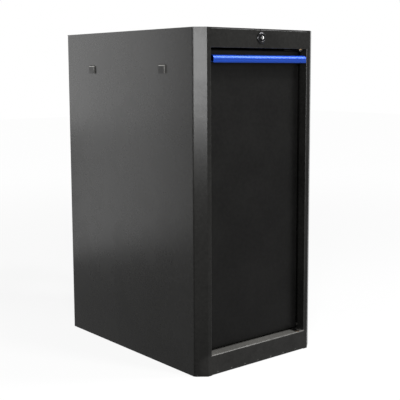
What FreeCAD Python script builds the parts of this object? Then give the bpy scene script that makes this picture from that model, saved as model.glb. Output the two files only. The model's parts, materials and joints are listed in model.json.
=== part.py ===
import FreeCAD, Part
import math
import os

# Tool chest side locker: a narrow folded-sheet cabinet with a recessed, right-hinged door behind a
# full-width grip, a cam lock in the header, two adjustable shelves and two side hooks.
# Frame: millimetres, +Z up, the front faces -Y, and the origin is the middle of the footprint, on the floor.

# ---------------------------------------------------------------- driving dimensions
# Outer size of the cabinet's shell
CABINET_WIDTH = 331.0
CABINET_DEPTH = 483.5
CABINET_HEIGHT = 700.0

# Sheet metal
SHELL_SHEET = 1.2
BACK_SHEET = 1.0
INSIDE_BEND = 1.0
WELD_GAP = 0.2

# Front frame
CORNER_CUT_FRONT = 22.0
CORNER_CUT_SIDE = 18.0
POST_FACE = 10.2
HEADER_HEIGHT = 39.3
SILL_HEIGHT = 42.3
DOOR_RECESS = 21.0
SIDE_FLANGE = 14.0
REAR_FLANGE = 18.0
POST_RETURN = 13.5
HEADER_FLANGE = 16.0
HEADER_LIP = 9.0
SILL_BEHIND_DOOR = 2.0
SILL_LIP = 12.0

# Top, floor and base
TOP_FLANGE = 16.0
TOP_EDGE_ROUND = 0.5
TOP_FLANGE_SETBACK = 40.0
FLOOR_WALL = 22.0
BASE_TO_FLOOR_GAP = 5.3

# Door
DOOR_SIDE_GAP = 3.0
DOOR_THICKNESS = 15.0
DOOR_BACK_SHEET = 1.0
EDGE_SLOT_HEIGHT = 11.0
EDGE_SLOT_WIDTH = 4.0
EDGE_SLOT_FIRST = 20.0
EDGE_SLOT_PITCH = 202.0
EDGE_SLOT_COUNT = 3
STIFFENER_WIDTH = 34.0
STIFFENER_OFFSET = 60.0
STIFFENER_END_GAP = 45.0

# Grip across the door
GRIP_BELOW_HEADER = 13.5
GRIP_LIP_HEIGHT = 16.0
GRIP_FLANGE_HEIGHT = 14.0
GRIP_PROUD = 2.5
GRIP_WALL = 2.4
GRIP_NOSE_RADIUS = 8.0
GRIP_HEEL_RADIUS = 0.6
GRIP_END_GAP = 4.0
GRIP_SCREW_RADIUS = 2.0
GRIP_SCREW_HEAD_RADIUS = 3.8
GRIP_SCREW_HEAD = 2.4
GRIP_SCREW_COUNT = 4
GRIP_SCREW_END = 22.0

# Pivot hinges
PIVOT_FROM_REVEAL = 15.0
PIVOT_BEHIND_FRONT = 5.5
PIVOT_PIN_RADIUS = 2.0
PIVOT_RUNNING_CLEARANCE = 0.05
PIVOT_PIN_TAIL = 2.5
PIVOT_HEAD_RADIUS = 3.6
PIVOT_HEAD = 1.5
HINGE_ARM_SHEET = 2.5
HINGE_ARM_TIP = 5.0
HINGE_PAD_LENGTH = 34.0
HINGE_PAD_WIDTH = 11.0
BUSH_WALL = 1.15
BUSH_COLLAR_RADIUS = 4.6
BUSH_COLLAR = 0.8
HINGE_END_PLAY = 0.2
HINGE_PLATE_SHEET = 2.5
HINGE_PLATE_LENGTH = 30.0

# Cam lock
LOCK_ABOVE_HEADER_MIDDLE = 1.55
LOCK_BEZEL_RADIUS = 11.9
LOCK_BEZEL_FACE_RADIUS = 9.6
LOCK_BEZEL_RIM = 1.4
LOCK_BEZEL_DOME = 2.4
LOCK_BARREL_RADIUS = 8.5
LOCK_HOLE_CLEARANCE = 0.2
BARREL_TO_CAM_GAP = 3.0
LOCK_CORE_RADIUS = 6.5
LOCK_CORE_CLEARANCE = 0.05
LOCK_CORE_PROUD = 0.4
KEYWAY_WIDTH = 2.2
KEYWAY_HEIGHT = 8.4
KEYWAY_DEPTH = 16.0
LOCK_NUT_ACROSS = 21.0
LOCK_NUT_THICKNESS = 5.0
CAM_BEHIND_HEADER_LIP = 4.0
CAM_SHEET = 3.0
CAM_ENGAGEMENT = 7.5
CAM_WIDTH = 14.0
CAM_SQUARE = 7.0
CAM_SCREW_RADIUS = 2.0
CAM_SCREW_HEAD_RADIUS = 5.5
CAM_SCREW_HEAD = 2.6
CAM_SCREW_DEPTH = 9.0
STRIKE_SHEET = 2.5
STRIKE_SLOT_PLAY = 1.5
STRIKE_EAR = 12.0

# Door stop with its bumpers and magnet
STOP_FOOT = 10.0
STOP_FROM_REVEAL = 4.0
STOP_REACH = 19.0
STOP_BEHIND_DOOR = 4.0
STOP_END_GAP = 12.0
REST_GAP = 0.3
BUMPER_RADIUS = 4.5
BUMPER_ROUND = 1.0
BUMPER_END_GAP = 40.0
MAGNET_WIDTH = 12.0
MAGNET_HEIGHT = 46.0
MAGNET_BELOW_BUMPER = 28.0
MAGNET_SCREW_RADIUS = 1.5
MAGNET_SCREW_HEAD_RADIUS = 2.8
MAGNET_SCREW_HEAD = 1.4
MAGNET_SCREW_END = 7.0
MAGNET_SCREW_TAIL = 3.0

# Shelf uprights, clips and shelves
UPRIGHT_WIDTH = 22.0
UPRIGHT_DEPTH = 9.0
UPRIGHT_SHEET = 1.5
UPRIGHT_FRONT_SETBACK = 62.0
UPRIGHT_REAR_SETBACK = 45.0
UPRIGHT_TOP_GAP = 45.0
SLOT_PITCH = 25.0
SLOT_HEIGHT = 10.0
SLOT_WIDTH = 4.0
SLOT_FIRST = 27.0
CLIP_SHEET = 2.0
CLIP_WIDTH = 14.0
CLIP_REACH = 11.0
CLIP_LEG = 14.0
CLIP_END_PLAY = 1.0
CLIP_SIDE_PLAY = 0.3
CLIP_HOOK_DROP = 3.0
LOWER_SHELF_ABOVE_FLOOR = 231.0
UPPER_SHELF_ABOVE_FLOOR = 431.0
SHELF_SHEET = 1.0
SHELF_WALL = 25.0
SHELF_LIP = 10.0
SHELF_SIDE_GAP = 1.0
SHELF_BEHIND_STOP = 5.0
SHELF_REAR_GAP = 3.0

# Side hooks
HOOK_SHEET = 1.5
HOOK_PROUD = 3.0
HOOK_WIDTH = 20.0
HOOK_TONGUE = 17.0
HOOK_PLATE = 22.0
HOOK_BELOW_TOP = 72.0
FRONT_HOOK_SETBACK = 116.0
REAR_HOOK_FROM_REAR = 106.0
HOOK_SLOT_CLEARANCE = 0.3

# Rivets of the back panel
RIVET_RADIUS = 2.0
RIVET_HEAD_RADIUS = 3.6
RIVET_HEAD = 1.1
RIVET_DOME_SHARE = 0.8  # of the head's height
RIVET_TAIL = 2.5
RIVET_COUNT = 5
RIVET_END_GAP = 20.0

# ---------------------------------------------------------------- derived planes and lines
OUTSIDE_BEND = INSIDE_BEND + SHELL_SHEET
HALF_WIDTH = CABINET_WIDTH / 2
FRONT = -CABINET_DEPTH / 2
REAR = CABINET_DEPTH / 2
TOP_UNDERSIDE = CABINET_HEIGHT - SHELL_SHEET
SIDE_INNER = HALF_WIDTH - SHELL_SHEET
BACK_PANEL_REAR = REAR - SHELL_SHEET
BACK_PANEL_FRONT = BACK_PANEL_REAR - BACK_SHEET
REVEAL = HALF_WIDTH - CORNER_CUT_FRONT - POST_FACE
HEADER_UNDERSIDE = CABINET_HEIGHT - HEADER_HEIGHT
CUT_REAR = FRONT + CORNER_CUT_SIDE

DOOR_FRONT = FRONT + DOOR_RECESS
DOOR_REAR = DOOR_FRONT + DOOR_THICKNESS
DOOR_HALF = REVEAL - DOOR_SIDE_GAP
DOOR_END_GAP = HINGE_ARM_SHEET + BUSH_COLLAR + HINGE_END_PLAY
DOOR_BOTTOM = SILL_HEIGHT + DOOR_END_GAP
DOOR_TOP = HEADER_UNDERSIDE - DOOR_END_GAP
SILL_REAR = DOOR_REAR + SILL_BEHIND_DOOR

GRIP_TOP = HEADER_UNDERSIDE - GRIP_BELOW_HEADER
GRIP_HALF = REVEAL - GRIP_END_GAP

PIVOT_X = REVEAL - PIVOT_FROM_REVEAL
PIVOT_Y = FRONT + PIVOT_BEHIND_FRONT
BUSH_RADIUS = PIVOT_PIN_RADIUS + PIVOT_RUNNING_CLEARANCE + BUSH_WALL

LOCK_Z = (HEADER_UNDERSIDE + CABINET_HEIGHT) / 2 + LOCK_ABOVE_HEADER_MIDDLE
CAM_FRONT = DOOR_FRONT + CAM_BEHIND_HEADER_LIP
CAM_REAR = CAM_FRONT + CAM_SHEET
CAM_DROP = LOCK_Z - DOOR_TOP
CAM_REACH = CAM_DROP + CAM_ENGAGEMENT
BARREL_REAR = CAM_FRONT - BARREL_TO_CAM_GAP

STOP_WEB = -REVEAL - STOP_FROM_REVEAL
STOP_FRONT = DOOR_REAR + STOP_BEHIND_DOOR
STOP_CENTRE = STOP_WEB + (SHELL_SHEET + STOP_REACH) / 2

UPRIGHT_FACE = SIDE_INNER - UPRIGHT_DEPTH
UPRIGHT_BOTTOM = SILL_HEIGHT
UPRIGHT_TOP = CABINET_HEIGHT - UPRIGHT_TOP_GAP
UPRIGHT_PLACES = {"front": FRONT + UPRIGHT_FRONT_SETBACK, "rear": REAR - UPRIGHT_REAR_SETBACK}
TONGUE_HEIGHT = SLOT_HEIGHT - 2 * CLIP_END_PLAY
TONGUE_WIDTH = SLOT_WIDTH - 2 * CLIP_SIDE_PLAY

HOOK_TOP = CABINET_HEIGHT - HOOK_BELOW_TOP
HOOK_PLACES = {"front": FRONT + FRONT_HOOK_SETBACK, "rear": REAR - REAR_HOOK_FROM_REAR}

BEYOND = 1.0  # how far a cutting tool passes the face that it cuts


# ---------------------------------------------------------------- sheet and solid helpers
def point(x, y, z=0.0):
    return FreeCAD.Vector(x, y, z)


def block(low, high):
    """A box between two opposite corners."""
    size = [top - bottom for bottom, top in zip(low, high)]
    return Part.makeBox(*size, point(*low))


def rod(radius, start, end):
    """A cylinder from one centre point to the other."""
    start, end = point(*start), point(*end)
    return Part.makeCylinder(radius, (end - start).Length, start, end - start)


def rounded_path(points, radii):
    """Edges through the points, with an arc of the given radius at each inner corner."""
    edges = []
    start = points[0]
    for before, at, after, radius in zip(points, points[1:], points[2:], radii):
        arrive = (at - before).normalize()
        leave = (after - at).normalize()
        half_turn = arrive.getAngle(leave) / 2
        setback = radius * math.tan(half_turn)
        inward = (leave - arrive).normalize()
        middle = at + inward * (radius / math.cos(half_turn) - radius)
        first, last = at - arrive * setback, at + leave * setback
        edges.append(Part.LineSegment(start, first).toShape())
        edges.append(Part.Arc(first, middle, last).toShape())
        start = last
    edges.append(Part.LineSegment(start, points[-1]).toShape())
    return edges


def sheet_section(corners, thickness, inside_radii=None):
    """Section of a folded sheet. The corners walk along one face, with the metal on the left of the walk."""
    walked = [point(*corner) for corner in corners]
    along = [(after - before).normalize() for before, after in zip(walked, walked[1:])]
    left = [point(-way.y, way.x) for way in along]
    radii = inside_radii or [INSIDE_BEND] * (len(walked) - 2)
    other = [walked[0] + left[0] * thickness]
    for at, one, two in zip(walked[1:], left, left[1:]):
        other.append(at + (one + two) * (thickness / (1 + one.dot(two))))
    other.append(walked[-1] + left[-1] * thickness)
    turns_left = [one.cross(two).z > 0 for one, two in zip(along, along[1:])]
    walked_radii = [r + thickness * turn for r, turn in zip(radii, turns_left)]
    other_radii = [r + thickness * (not turn) for r, turn in zip(radii, turns_left)]
    edges = rounded_path(walked, walked_radii)
    edges.append(Part.LineSegment(walked[-1], other[-1]).toShape())
    edges += rounded_path(other[::-1], other_radii[::-1])
    edges.append(Part.LineSegment(other[0], walked[0]).toShape())
    return Part.Face(Part.Wire(edges))


def along_z(section, bottom, top):
    """Stands a section drawn in X and Y from one height to another."""
    section.translate(point(0, 0, bottom))
    return section.extrude(point(0, 0, top - bottom))


def along_x(section, start, end):
    """Runs a section drawn as (Y, Z) along X."""
    turn = FreeCAD.Matrix(0, 0, 1, start, 1, 0, 0, 0, 0, 1, 0, 0)
    return section.transformGeometry(turn).extrude(point(end - start, 0, 0))


def along_y(section, start, end):
    """Runs a section drawn as (X, Z) along Y."""
    turn = FreeCAD.Matrix(1, 0, 0, 0, 0, 0, -1, start, 0, 1, 0, 0)
    return section.transformGeometry(turn).extrude(point(0, end - start, 0))


def mirrored(shape):
    """The same piece on the other side of the cabinet."""
    return shape.mirror(point(0, 0, 0), point(1, 0, 0))


def edges_at(shape, axis, level):
    """The edges that lie in the plane at a level of one axis."""
    return [e for e in shape.Edges if all(abs(v.Point[axis] - level) < 1e-6 for v in e.Vertexes)]


def pan(low, high, thickness, axis, closed_low, lip=0.0):
    """A folded tray. The sheet closes one end of the axis; at the other the walls may turn in by a lip."""
    closed, mouth = (low[axis], high[axis]) if closed_low else (high[axis], low[axis])
    inward = 1 if closed_low else -1
    inner_low = [value + thickness for value in low]
    inner_high = [value - thickness for value in high]
    inner_mouth = mouth - inward * thickness if lip else mouth + inward * BEYOND
    (inner_high if closed_low else inner_low)[axis] = inner_mouth
    outer, inner = block(low, high), block(inner_low, inner_high)
    outer_folds, inner_folds = edges_at(outer, axis, closed), edges_at(inner, axis, closed + inward * thickness)
    if lip:
        outer_folds += edges_at(outer, axis, mouth)
        inner_folds += edges_at(inner, axis, inner_mouth)
    outer = outer.makeFillet(INSIDE_BEND + thickness, outer_folds)
    inner = inner.makeFillet(INSIDE_BEND, inner_folds)
    tray = outer.cut(inner)
    if lip:
        hole_low = [value + lip for value in low]
        hole_high = [value - lip for value in high]
        hole_low[axis], hole_high[axis] = sorted((mouth + inward * BEYOND, inner_mouth - inward * BEYOND))
        tray = tray.cut(block(hole_low, hole_high))
    return tray


def spread(first, last, count):
    """Evenly spaced places from the first to the last."""
    return [first + (last - first) * i / (count - 1) for i in range(count)]


# ---------------------------------------------------------------- outer shell
def hook_slots():
    """Cuts through the left side for the webs of the two hooks."""
    half = HOOK_WIDTH / 2 + HOOK_SLOT_CLEARANCE
    low = HOOK_TOP - HOOK_SHEET - HOOK_SLOT_CLEARANCE
    high = HOOK_TOP + INSIDE_BEND + HOOK_SLOT_CLEARANCE
    return [block((-HALF_WIDTH - BEYOND, y - half, low), (-SIDE_INNER + BEYOND, y + half, high))
            for y in HOOK_PLACES.values()]


def rivet_places():
    """Where the rivets pass the rear flanges: each place is an X and a Z."""
    across = HALF_WIDTH - REAR_FLANGE / 2
    lowest = SILL_HEIGHT + RIVET_END_GAP
    highest = TOP_UNDERSIDE - TOP_FLANGE - RIVET_END_GAP
    heights = spread(lowest, highest, RIVET_COUNT)
    return [(side * across, height) for side in (-1, 1) for height in heights]


def rivet_holes():
    """Cuts for all rivets through the rear flanges and the back panel."""
    front, rear = BACK_PANEL_FRONT - BEYOND, REAR + BEYOND
    return [rod(RIVET_RADIUS, (x, front, z), (x, rear, z)) for x, z in rivet_places()]


def side_wall():
    """The left wall, folded in at the front behind the post and at the rear round the back panel."""
    corners = [
        (-HALF_WIDTH + REAR_FLANGE, REAR),
        (-HALF_WIDTH, REAR),
        (-HALF_WIDTH, CUT_REAR),
        (-HALF_WIDTH + SIDE_FLANGE, CUT_REAR),
    ]
    return along_z(sheet_section(corners, SHELL_SHEET), 0, TOP_UNDERSIDE).cut(rivet_holes())


def left_side_panel():
    return side_wall().cut(hook_slots())


def right_side_panel():
    return mirrored(side_wall())


def back_panel():
    """A flat sheet held against the inside of the two rear flanges."""
    half = SIDE_INNER - INSIDE_BEND - WELD_GAP
    sheet = block((-half, BACK_PANEL_FRONT, 0), (half, BACK_PANEL_REAR, TOP_UNDERSIDE))
    return sheet.cut(rivet_holes())


def back_panel_rivets():
    """Domed blind rivets through the rear flanges."""
    rivets = []
    for x, z in rivet_places():
        shank = rod(RIVET_RADIUS, (x, BACK_PANEL_FRONT - RIVET_TAIL, z), (x, REAR + RIVET_HEAD, z))
        head = rod(RIVET_HEAD_RADIUS, (x, REAR, z), (x, REAR + RIVET_HEAD, z))
        head = head.makeFillet(RIVET_DOME_SHARE * RIVET_HEAD, edges_at(head, 1, REAR + RIVET_HEAD))
        rivets.append(shank.fuse(head).removeSplitter())
    return Part.makeCompound(rivets)


def top_panel():
    """The flat top with both front corners cut, and flanges that drop inside the walls."""
    outline = [
        (-HALF_WIDTH, REAR), (-HALF_WIDTH, CUT_REAR), (-HALF_WIDTH + CORNER_CUT_FRONT, FRONT),
        (HALF_WIDTH - CORNER_CUT_FRONT, FRONT), (HALF_WIDTH, CUT_REAR), (HALF_WIDTH, REAR),
    ]
    loop = [point(x, y, TOP_UNDERSIDE) for x, y in outline + outline[:1]]
    sheet = Part.Face(Part.makePolygon(loop)).extrude(point(0, 0, SHELL_SHEET))
    sheet = sheet.makeFillet(TOP_EDGE_ROUND, edges_at(sheet, 2, CABINET_HEIGHT))
    bottom = TOP_UNDERSIDE - TOP_FLANGE
    fold = BACK_PANEL_FRONT - SHELL_SHEET
    side = block((-SIDE_INNER, FRONT + TOP_FLANGE_SETBACK, bottom),
                 (-SIDE_INNER + SHELL_SHEET, fold, TOP_UNDERSIDE))
    rear = block((-SIDE_INNER, fold, bottom), (SIDE_INNER, BACK_PANEL_FRONT, TOP_UNDERSIDE))
    return sheet.fuse([side, mirrored(side), rear]).removeSplitter()


def floor_pan():
    """The compartment's floor, flush with the sill, with its walls folded down."""
    low = (-SIDE_INNER, SILL_REAR, SILL_HEIGHT - FLOOR_WALL)
    high = (SIDE_INNER, BACK_PANEL_FRONT, SILL_HEIGHT)
    return pan(low, high, SHELL_SHEET, axis=2, closed_low=False)


def base_pan():
    """The closed underside that the cabinet rests on, with its walls folded up."""
    low = (-SIDE_INNER, DOOR_FRONT, 0)
    high = (SIDE_INNER, BACK_PANEL_FRONT, SILL_HEIGHT - FLOOR_WALL - BASE_TO_FLOOR_GAP)
    return pan(low, high, SHELL_SHEET, axis=2, closed_low=True)


# ---------------------------------------------------------------- front frame
def front_post():
    """The left post: the corner cut, a narrow front strip, and the reveal beside the door."""
    slope = math.atan2(CORNER_CUT_SIDE, CORNER_CUT_FRONT)
    seam_setback = SHELL_SHEET / math.tan(slope)
    seam = (-HALF_WIDTH + seam_setback * math.cos(slope), CUT_REAR - seam_setback * math.sin(slope))
    cut_end = (-HALF_WIDTH + CORNER_CUT_FRONT, FRONT)
    face_end = (-REVEAL, FRONT)
    with_reveal = [seam, cut_end, face_end, (-REVEAL, DOOR_FRONT), (-REVEAL - POST_RETURN, DOOR_FRONT)]
    beside_rails = [seam, cut_end, face_end]
    full = along_z(sheet_section(beside_rails, SHELL_SHEET), 0, TOP_UNDERSIDE)
    opening = along_z(sheet_section(with_reveal, SHELL_SHEET), SILL_HEIGHT, HEADER_UNDERSIDE)
    square_corner = block((-REVEAL - OUTSIDE_BEND, FRONT, SILL_HEIGHT),
                          (-REVEAL, FRONT + SHELL_SHEET, HEADER_UNDERSIDE))
    return full.cut(square_corner).fuse(opening).removeSplitter()


def left_front_post():
    return front_post()


def right_front_post():
    return mirrored(front_post())


def bush_hole(low, high):
    """Cut for a hinge bush between two heights."""
    return rod(BUSH_RADIUS, (PIVOT_X, PIVOT_Y, low), (PIVOT_X, PIVOT_Y, high))


def header_rail():
    """The channel above the door, pierced for the lock and the upper bush."""
    corners = [
        (FRONT + HEADER_FLANGE, TOP_UNDERSIDE),
        (FRONT, TOP_UNDERSIDE),
        (FRONT, HEADER_UNDERSIDE),
        (DOOR_FRONT, HEADER_UNDERSIDE),
        (DOOR_FRONT, HEADER_UNDERSIDE + HEADER_LIP),
    ]
    rail = along_x(sheet_section(corners, SHELL_SHEET), -REVEAL, REVEAL)
    lock_hole = rod(LOCK_BARREL_RADIUS + LOCK_HOLE_CLEARANCE, (0, FRONT - BEYOND, LOCK_Z),
                    (0, FRONT + SHELL_SHEET + BEYOND, LOCK_Z))
    return rail.cut([lock_hole, bush_hole(HEADER_UNDERSIDE - BEYOND, HEADER_UNDERSIDE + SHELL_SHEET + BEYOND)])


def bottom_rail():
    """The channel below the door; its upper face is the sill ledge."""
    corners = [
        (SILL_REAR, SILL_HEIGHT - SILL_LIP),
        (SILL_REAR, SILL_HEIGHT),
        (FRONT, SILL_HEIGHT),
        (FRONT, 0),
        (DOOR_FRONT, 0),
    ]
    rail = along_x(sheet_section(corners, SHELL_SHEET), -REVEAL, REVEAL)
    return rail.cut(bush_hole(SILL_HEIGHT - SHELL_SHEET - BEYOND, SILL_HEIGHT + BEYOND))


# ---------------------------------------------------------------- pivot hinges
def hinge_end(at_top):
    """Heights at one end of the door: the frame's face, the door's face and the way from door to frame."""
    return (HEADER_UNDERSIDE, DOOR_TOP, 1) if at_top else (SILL_HEIGHT, DOOR_BOTTOM, -1)


def between(level, offset):
    """A level and the level beside it, lowest first."""
    return sorted((level, level + offset))


def hinge_plate(at_top):
    """The plate that backs the rail where the bush passes."""
    frame, _, outward = hinge_end(at_top)
    low, high = between(frame + outward * SHELL_SHEET, outward * HINGE_PLATE_SHEET)
    front = FRONT + OUTSIDE_BEND + WELD_GAP
    rear = DOOR_FRONT - SHELL_SHEET - INSIDE_BEND - WELD_GAP
    half = HINGE_PLATE_LENGTH / 2
    plate = block((PIVOT_X - half, front, low), (PIVOT_X + half - WELD_GAP, rear, high))
    return plate.cut(bush_hole(low - BEYOND, high + BEYOND))


def hinge_bush(at_top):
    """A collared bush; its collar carries the door's arm."""
    frame, _, outward = hinge_end(at_top)
    bore = PIVOT_PIN_RADIUS + PIVOT_RUNNING_CLEARANCE
    far = frame + outward * (SHELL_SHEET + HINGE_PLATE_SHEET)
    near = frame - outward * BUSH_COLLAR
    sleeve = bush_hole(near, far)
    collar = rod(BUSH_COLLAR_RADIUS, (PIVOT_X, PIVOT_Y, near), (PIVOT_X, PIVOT_Y, frame))
    hole = rod(bore, (PIVOT_X, PIVOT_Y, near - outward * BEYOND), (PIVOT_X, PIVOT_Y, far + outward * BEYOND))
    return sleeve.fuse(collar).cut(hole).removeSplitter()


def hinge_arm(at_top):
    """The arm that reaches forward from the door to its pivot."""
    _, door, outward = hinge_end(at_top)
    low, high = between(door, outward * HINGE_ARM_SHEET)
    near, far = PIVOT_X - HINGE_ARM_TIP, PIVOT_X + HINGE_ARM_TIP
    pad_front = DOOR_FRONT + OUTSIDE_BEND
    pad_rear = pad_front + HINGE_PAD_WIDTH
    pad = block((far - HINGE_PAD_LENGTH, pad_front, low), (far, pad_rear, high))
    neck = block((near, PIVOT_Y, low), (far, pad_rear, high))
    tip = rod(HINGE_ARM_TIP, (PIVOT_X, PIVOT_Y, low), (PIVOT_X, PIVOT_Y, high))
    hole = rod(PIVOT_PIN_RADIUS, (PIVOT_X, PIVOT_Y, low - BEYOND), (PIVOT_X, PIVOT_Y, high + BEYOND))
    return pad.fuse([neck, tip]).cut(hole).removeSplitter()


def hinge_pin(at_top):
    """A headed pin, fixed in the arm and running in the bush."""
    frame, door, outward = hinge_end(at_top)
    head_end = door - outward * PIVOT_HEAD
    far = frame + outward * (SHELL_SHEET + HINGE_PLATE_SHEET + PIVOT_PIN_TAIL)
    shank = rod(PIVOT_PIN_RADIUS, (PIVOT_X, PIVOT_Y, head_end), (PIVOT_X, PIVOT_Y, far))
    head = rod(PIVOT_HEAD_RADIUS, (PIVOT_X, PIVOT_Y, head_end), (PIVOT_X, PIVOT_Y, door))
    head = head.makeFillet(PIVOT_HEAD / 2, edges_at(head, 2, head_end))
    return shank.fuse(head).removeSplitter()


# ---------------------------------------------------------------- door
def cam_sweep_reach():
    """How far beside the lock's axis the turning cam is when it dips into the door."""
    return math.sqrt(CAM_REACH ** 2 + (CAM_WIDTH / 2) ** 2 - CAM_DROP ** 2)


def strike_slot():
    """Cut for the cam through the door's upper wall and the strike."""
    floor = DOOR_TOP - SHELL_SHEET - STRIKE_SHEET
    return block((-CAM_WIDTH / 2 - STRIKE_SLOT_PLAY, CAM_FRONT - STRIKE_SLOT_PLAY / 2, floor - BEYOND),
                 (cam_sweep_reach() + STRIKE_SLOT_PLAY, CAM_REAR + STRIKE_SLOT_PLAY, DOOR_TOP + BEYOND))


def grip_screw_places():
    """Where the grip's screws stand along X."""
    end = GRIP_HALF - GRIP_SCREW_END
    return spread(-end, end, GRIP_SCREW_COUNT)


def grip_screw_height():
    return GRIP_TOP - GRIP_FLANGE_HEIGHT / 2 - GRIP_WALL / 2


def grip_screw_holes():
    """Cuts for the grip's screws through the grip's flange and the door's skin."""
    z = grip_screw_height()
    front, rear = DOOR_FRONT - GRIP_WALL - BEYOND, DOOR_FRONT + SHELL_SHEET + BEYOND
    return [rod(GRIP_SCREW_RADIUS, (x, front, z), (x, rear, z)) for x in grip_screw_places()]


def door_skin():
    """The visible pan of the door, slotted for the cam and along its hinge edge."""
    skin = pan((-DOOR_HALF, DOOR_FRONT, DOOR_BOTTOM), (DOOR_HALF, DOOR_REAR, DOOR_TOP), SHELL_SHEET,
               axis=1, closed_low=True)
    slots = []
    for i in range(EDGE_SLOT_COUNT):
        bottom = DOOR_BOTTOM + EDGE_SLOT_FIRST + i * EDGE_SLOT_PITCH - EDGE_SLOT_HEIGHT / 2
        slots.append(block((DOOR_HALF - OUTSIDE_BEND, DOOR_FRONT - BEYOND, bottom),
                           (DOOR_HALF + BEYOND, DOOR_FRONT + EDGE_SLOT_WIDTH, bottom + EDGE_SLOT_HEIGHT)))
    return skin.cut(slots + [strike_slot()] + grip_screw_holes())


def door_inner_panel():
    """The flat sheet that closes the back of the door."""
    edge = SHELL_SHEET + WELD_GAP
    return block((-DOOR_HALF + edge, DOOR_REAR - DOOR_BACK_SHEET, DOOR_BOTTOM + edge),
                 (DOOR_HALF - edge, DOOR_REAR, DOOR_TOP - edge))


def left_door_stiffener():
    """A channel between the door's two sheets."""
    front, rear = DOOR_FRONT + SHELL_SHEET, DOOR_REAR - DOOR_BACK_SHEET
    near, far = -STIFFENER_OFFSET - STIFFENER_WIDTH / 2, -STIFFENER_OFFSET + STIFFENER_WIDTH / 2
    corners = [(near, rear), (near, front), (far, front), (far, rear)]
    section = sheet_section(corners, SHELL_SHEET)
    return along_z(section, DOOR_BOTTOM + STIFFENER_END_GAP, DOOR_TOP - STIFFENER_END_GAP)


def right_door_stiffener():
    return mirrored(left_door_stiffener())


def door_handle():
    """The extruded grip: a flange on the door, a flat top, a rounded nose and a lip that hangs down."""
    lip = FRONT - GRIP_PROUD
    corners = [
        (DOOR_FRONT, GRIP_TOP - GRIP_FLANGE_HEIGHT),
        (DOOR_FRONT, GRIP_TOP),
        (lip, GRIP_TOP),
        (lip, GRIP_TOP - GRIP_LIP_HEIGHT),
    ]
    radii = [GRIP_HEEL_RADIUS, GRIP_NOSE_RADIUS - GRIP_WALL]
    grip = along_x(sheet_section(corners, GRIP_WALL, radii), -GRIP_HALF, GRIP_HALF)
    return grip.cut(grip_screw_holes())


def handle_screws():
    """Screws from inside the door into the grip's flange."""
    screws = []
    z = grip_screw_height()
    seat = DOOR_FRONT + SHELL_SHEET
    for x in grip_screw_places():
        head = rod(GRIP_SCREW_HEAD_RADIUS, (x, seat, z), (x, seat + GRIP_SCREW_HEAD, z))
        head = head.makeFillet(GRIP_SCREW_HEAD / 2, edges_at(head, 1, seat + GRIP_SCREW_HEAD))
        shank = rod(GRIP_SCREW_RADIUS, (x, DOOR_FRONT - GRIP_WALL, z), (x, seat + GRIP_SCREW_HEAD / 2, z))
        screws.append(head.fuse(shank).removeSplitter())
    return Part.makeCompound(screws)


def lock_strike():
    """The keeper under the door's upper wall, with an open notch that the cam drops into."""
    slot = strike_slot().BoundBox
    top = DOOR_TOP - SHELL_SHEET
    low = (slot.XMin - STRIKE_EAR, slot.YMin, top - STRIKE_SHEET)
    high = (slot.XMax + STRIKE_EAR, DOOR_REAR - DOOR_BACK_SHEET, top)
    return block(low, high).cut(strike_slot())


# ---------------------------------------------------------------- door stop
def stop_strip():
    """The folded strip behind the door's free edge, which carries the bumpers and the magnet."""
    corners = [
        (STOP_WEB - STOP_FOOT, DOOR_FRONT),
        (STOP_WEB, DOOR_FRONT),
        (STOP_WEB, STOP_FRONT),
        (STOP_WEB + STOP_REACH, STOP_FRONT),
    ]
    section = sheet_section(corners, SHELL_SHEET)
    strip = along_z(section, SILL_HEIGHT + STOP_END_GAP, HEADER_UNDERSIDE - STOP_END_GAP)
    return strip.cut(magnet_screw_holes())


def bumper_heights():
    return (SILL_HEIGHT + BUMPER_END_GAP, HEADER_UNDERSIDE - BUMPER_END_GAP)


def door_bumpers():
    """Round rubber buttons that the closed door rests on."""
    buttons = []
    face = DOOR_REAR + REST_GAP
    for z in bumper_heights():
        button = rod(BUMPER_RADIUS, (STOP_CENTRE, STOP_FRONT, z), (STOP_CENTRE, face, z))
        buttons.append(button.makeFillet(BUMPER_ROUND, edges_at(button, 1, face)))
    return Part.makeCompound(buttons)


def magnet_box():
    """Lowest and highest corner of the magnet."""
    top = bumper_heights()[1] - MAGNET_BELOW_BUMPER
    return ((STOP_CENTRE - MAGNET_WIDTH / 2, DOOR_REAR + REST_GAP, top - MAGNET_HEIGHT),
            (STOP_CENTRE + MAGNET_WIDTH / 2, STOP_FRONT, top))


def magnet_screw_places():
    """Where the magnet's two screws stand, as heights."""
    low, high = magnet_box()
    return (low[2] + MAGNET_SCREW_END, high[2] - MAGNET_SCREW_END)


def magnet_screw_holes():
    """Cuts for the magnet's screws through the magnet and the stop strip."""
    rear = STOP_FRONT + SHELL_SHEET + BEYOND
    return [rod(MAGNET_SCREW_RADIUS, (STOP_CENTRE, DOOR_REAR, z), (STOP_CENTRE, rear, z))
            for z in magnet_screw_places()]


def magnet_screw_seat():
    return DOOR_REAR + REST_GAP + MAGNET_SCREW_HEAD + WELD_GAP


def magnetic_catch():
    """A flat magnet with two counterbored holes."""
    low, high = magnet_box()
    wide = MAGNET_SCREW_HEAD_RADIUS + WELD_GAP
    bores = [rod(wide, (STOP_CENTRE, DOOR_REAR, z), (STOP_CENTRE, magnet_screw_seat(), z))
             for z in magnet_screw_places()]
    return block(low, high).cut(bores + magnet_screw_holes())


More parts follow.
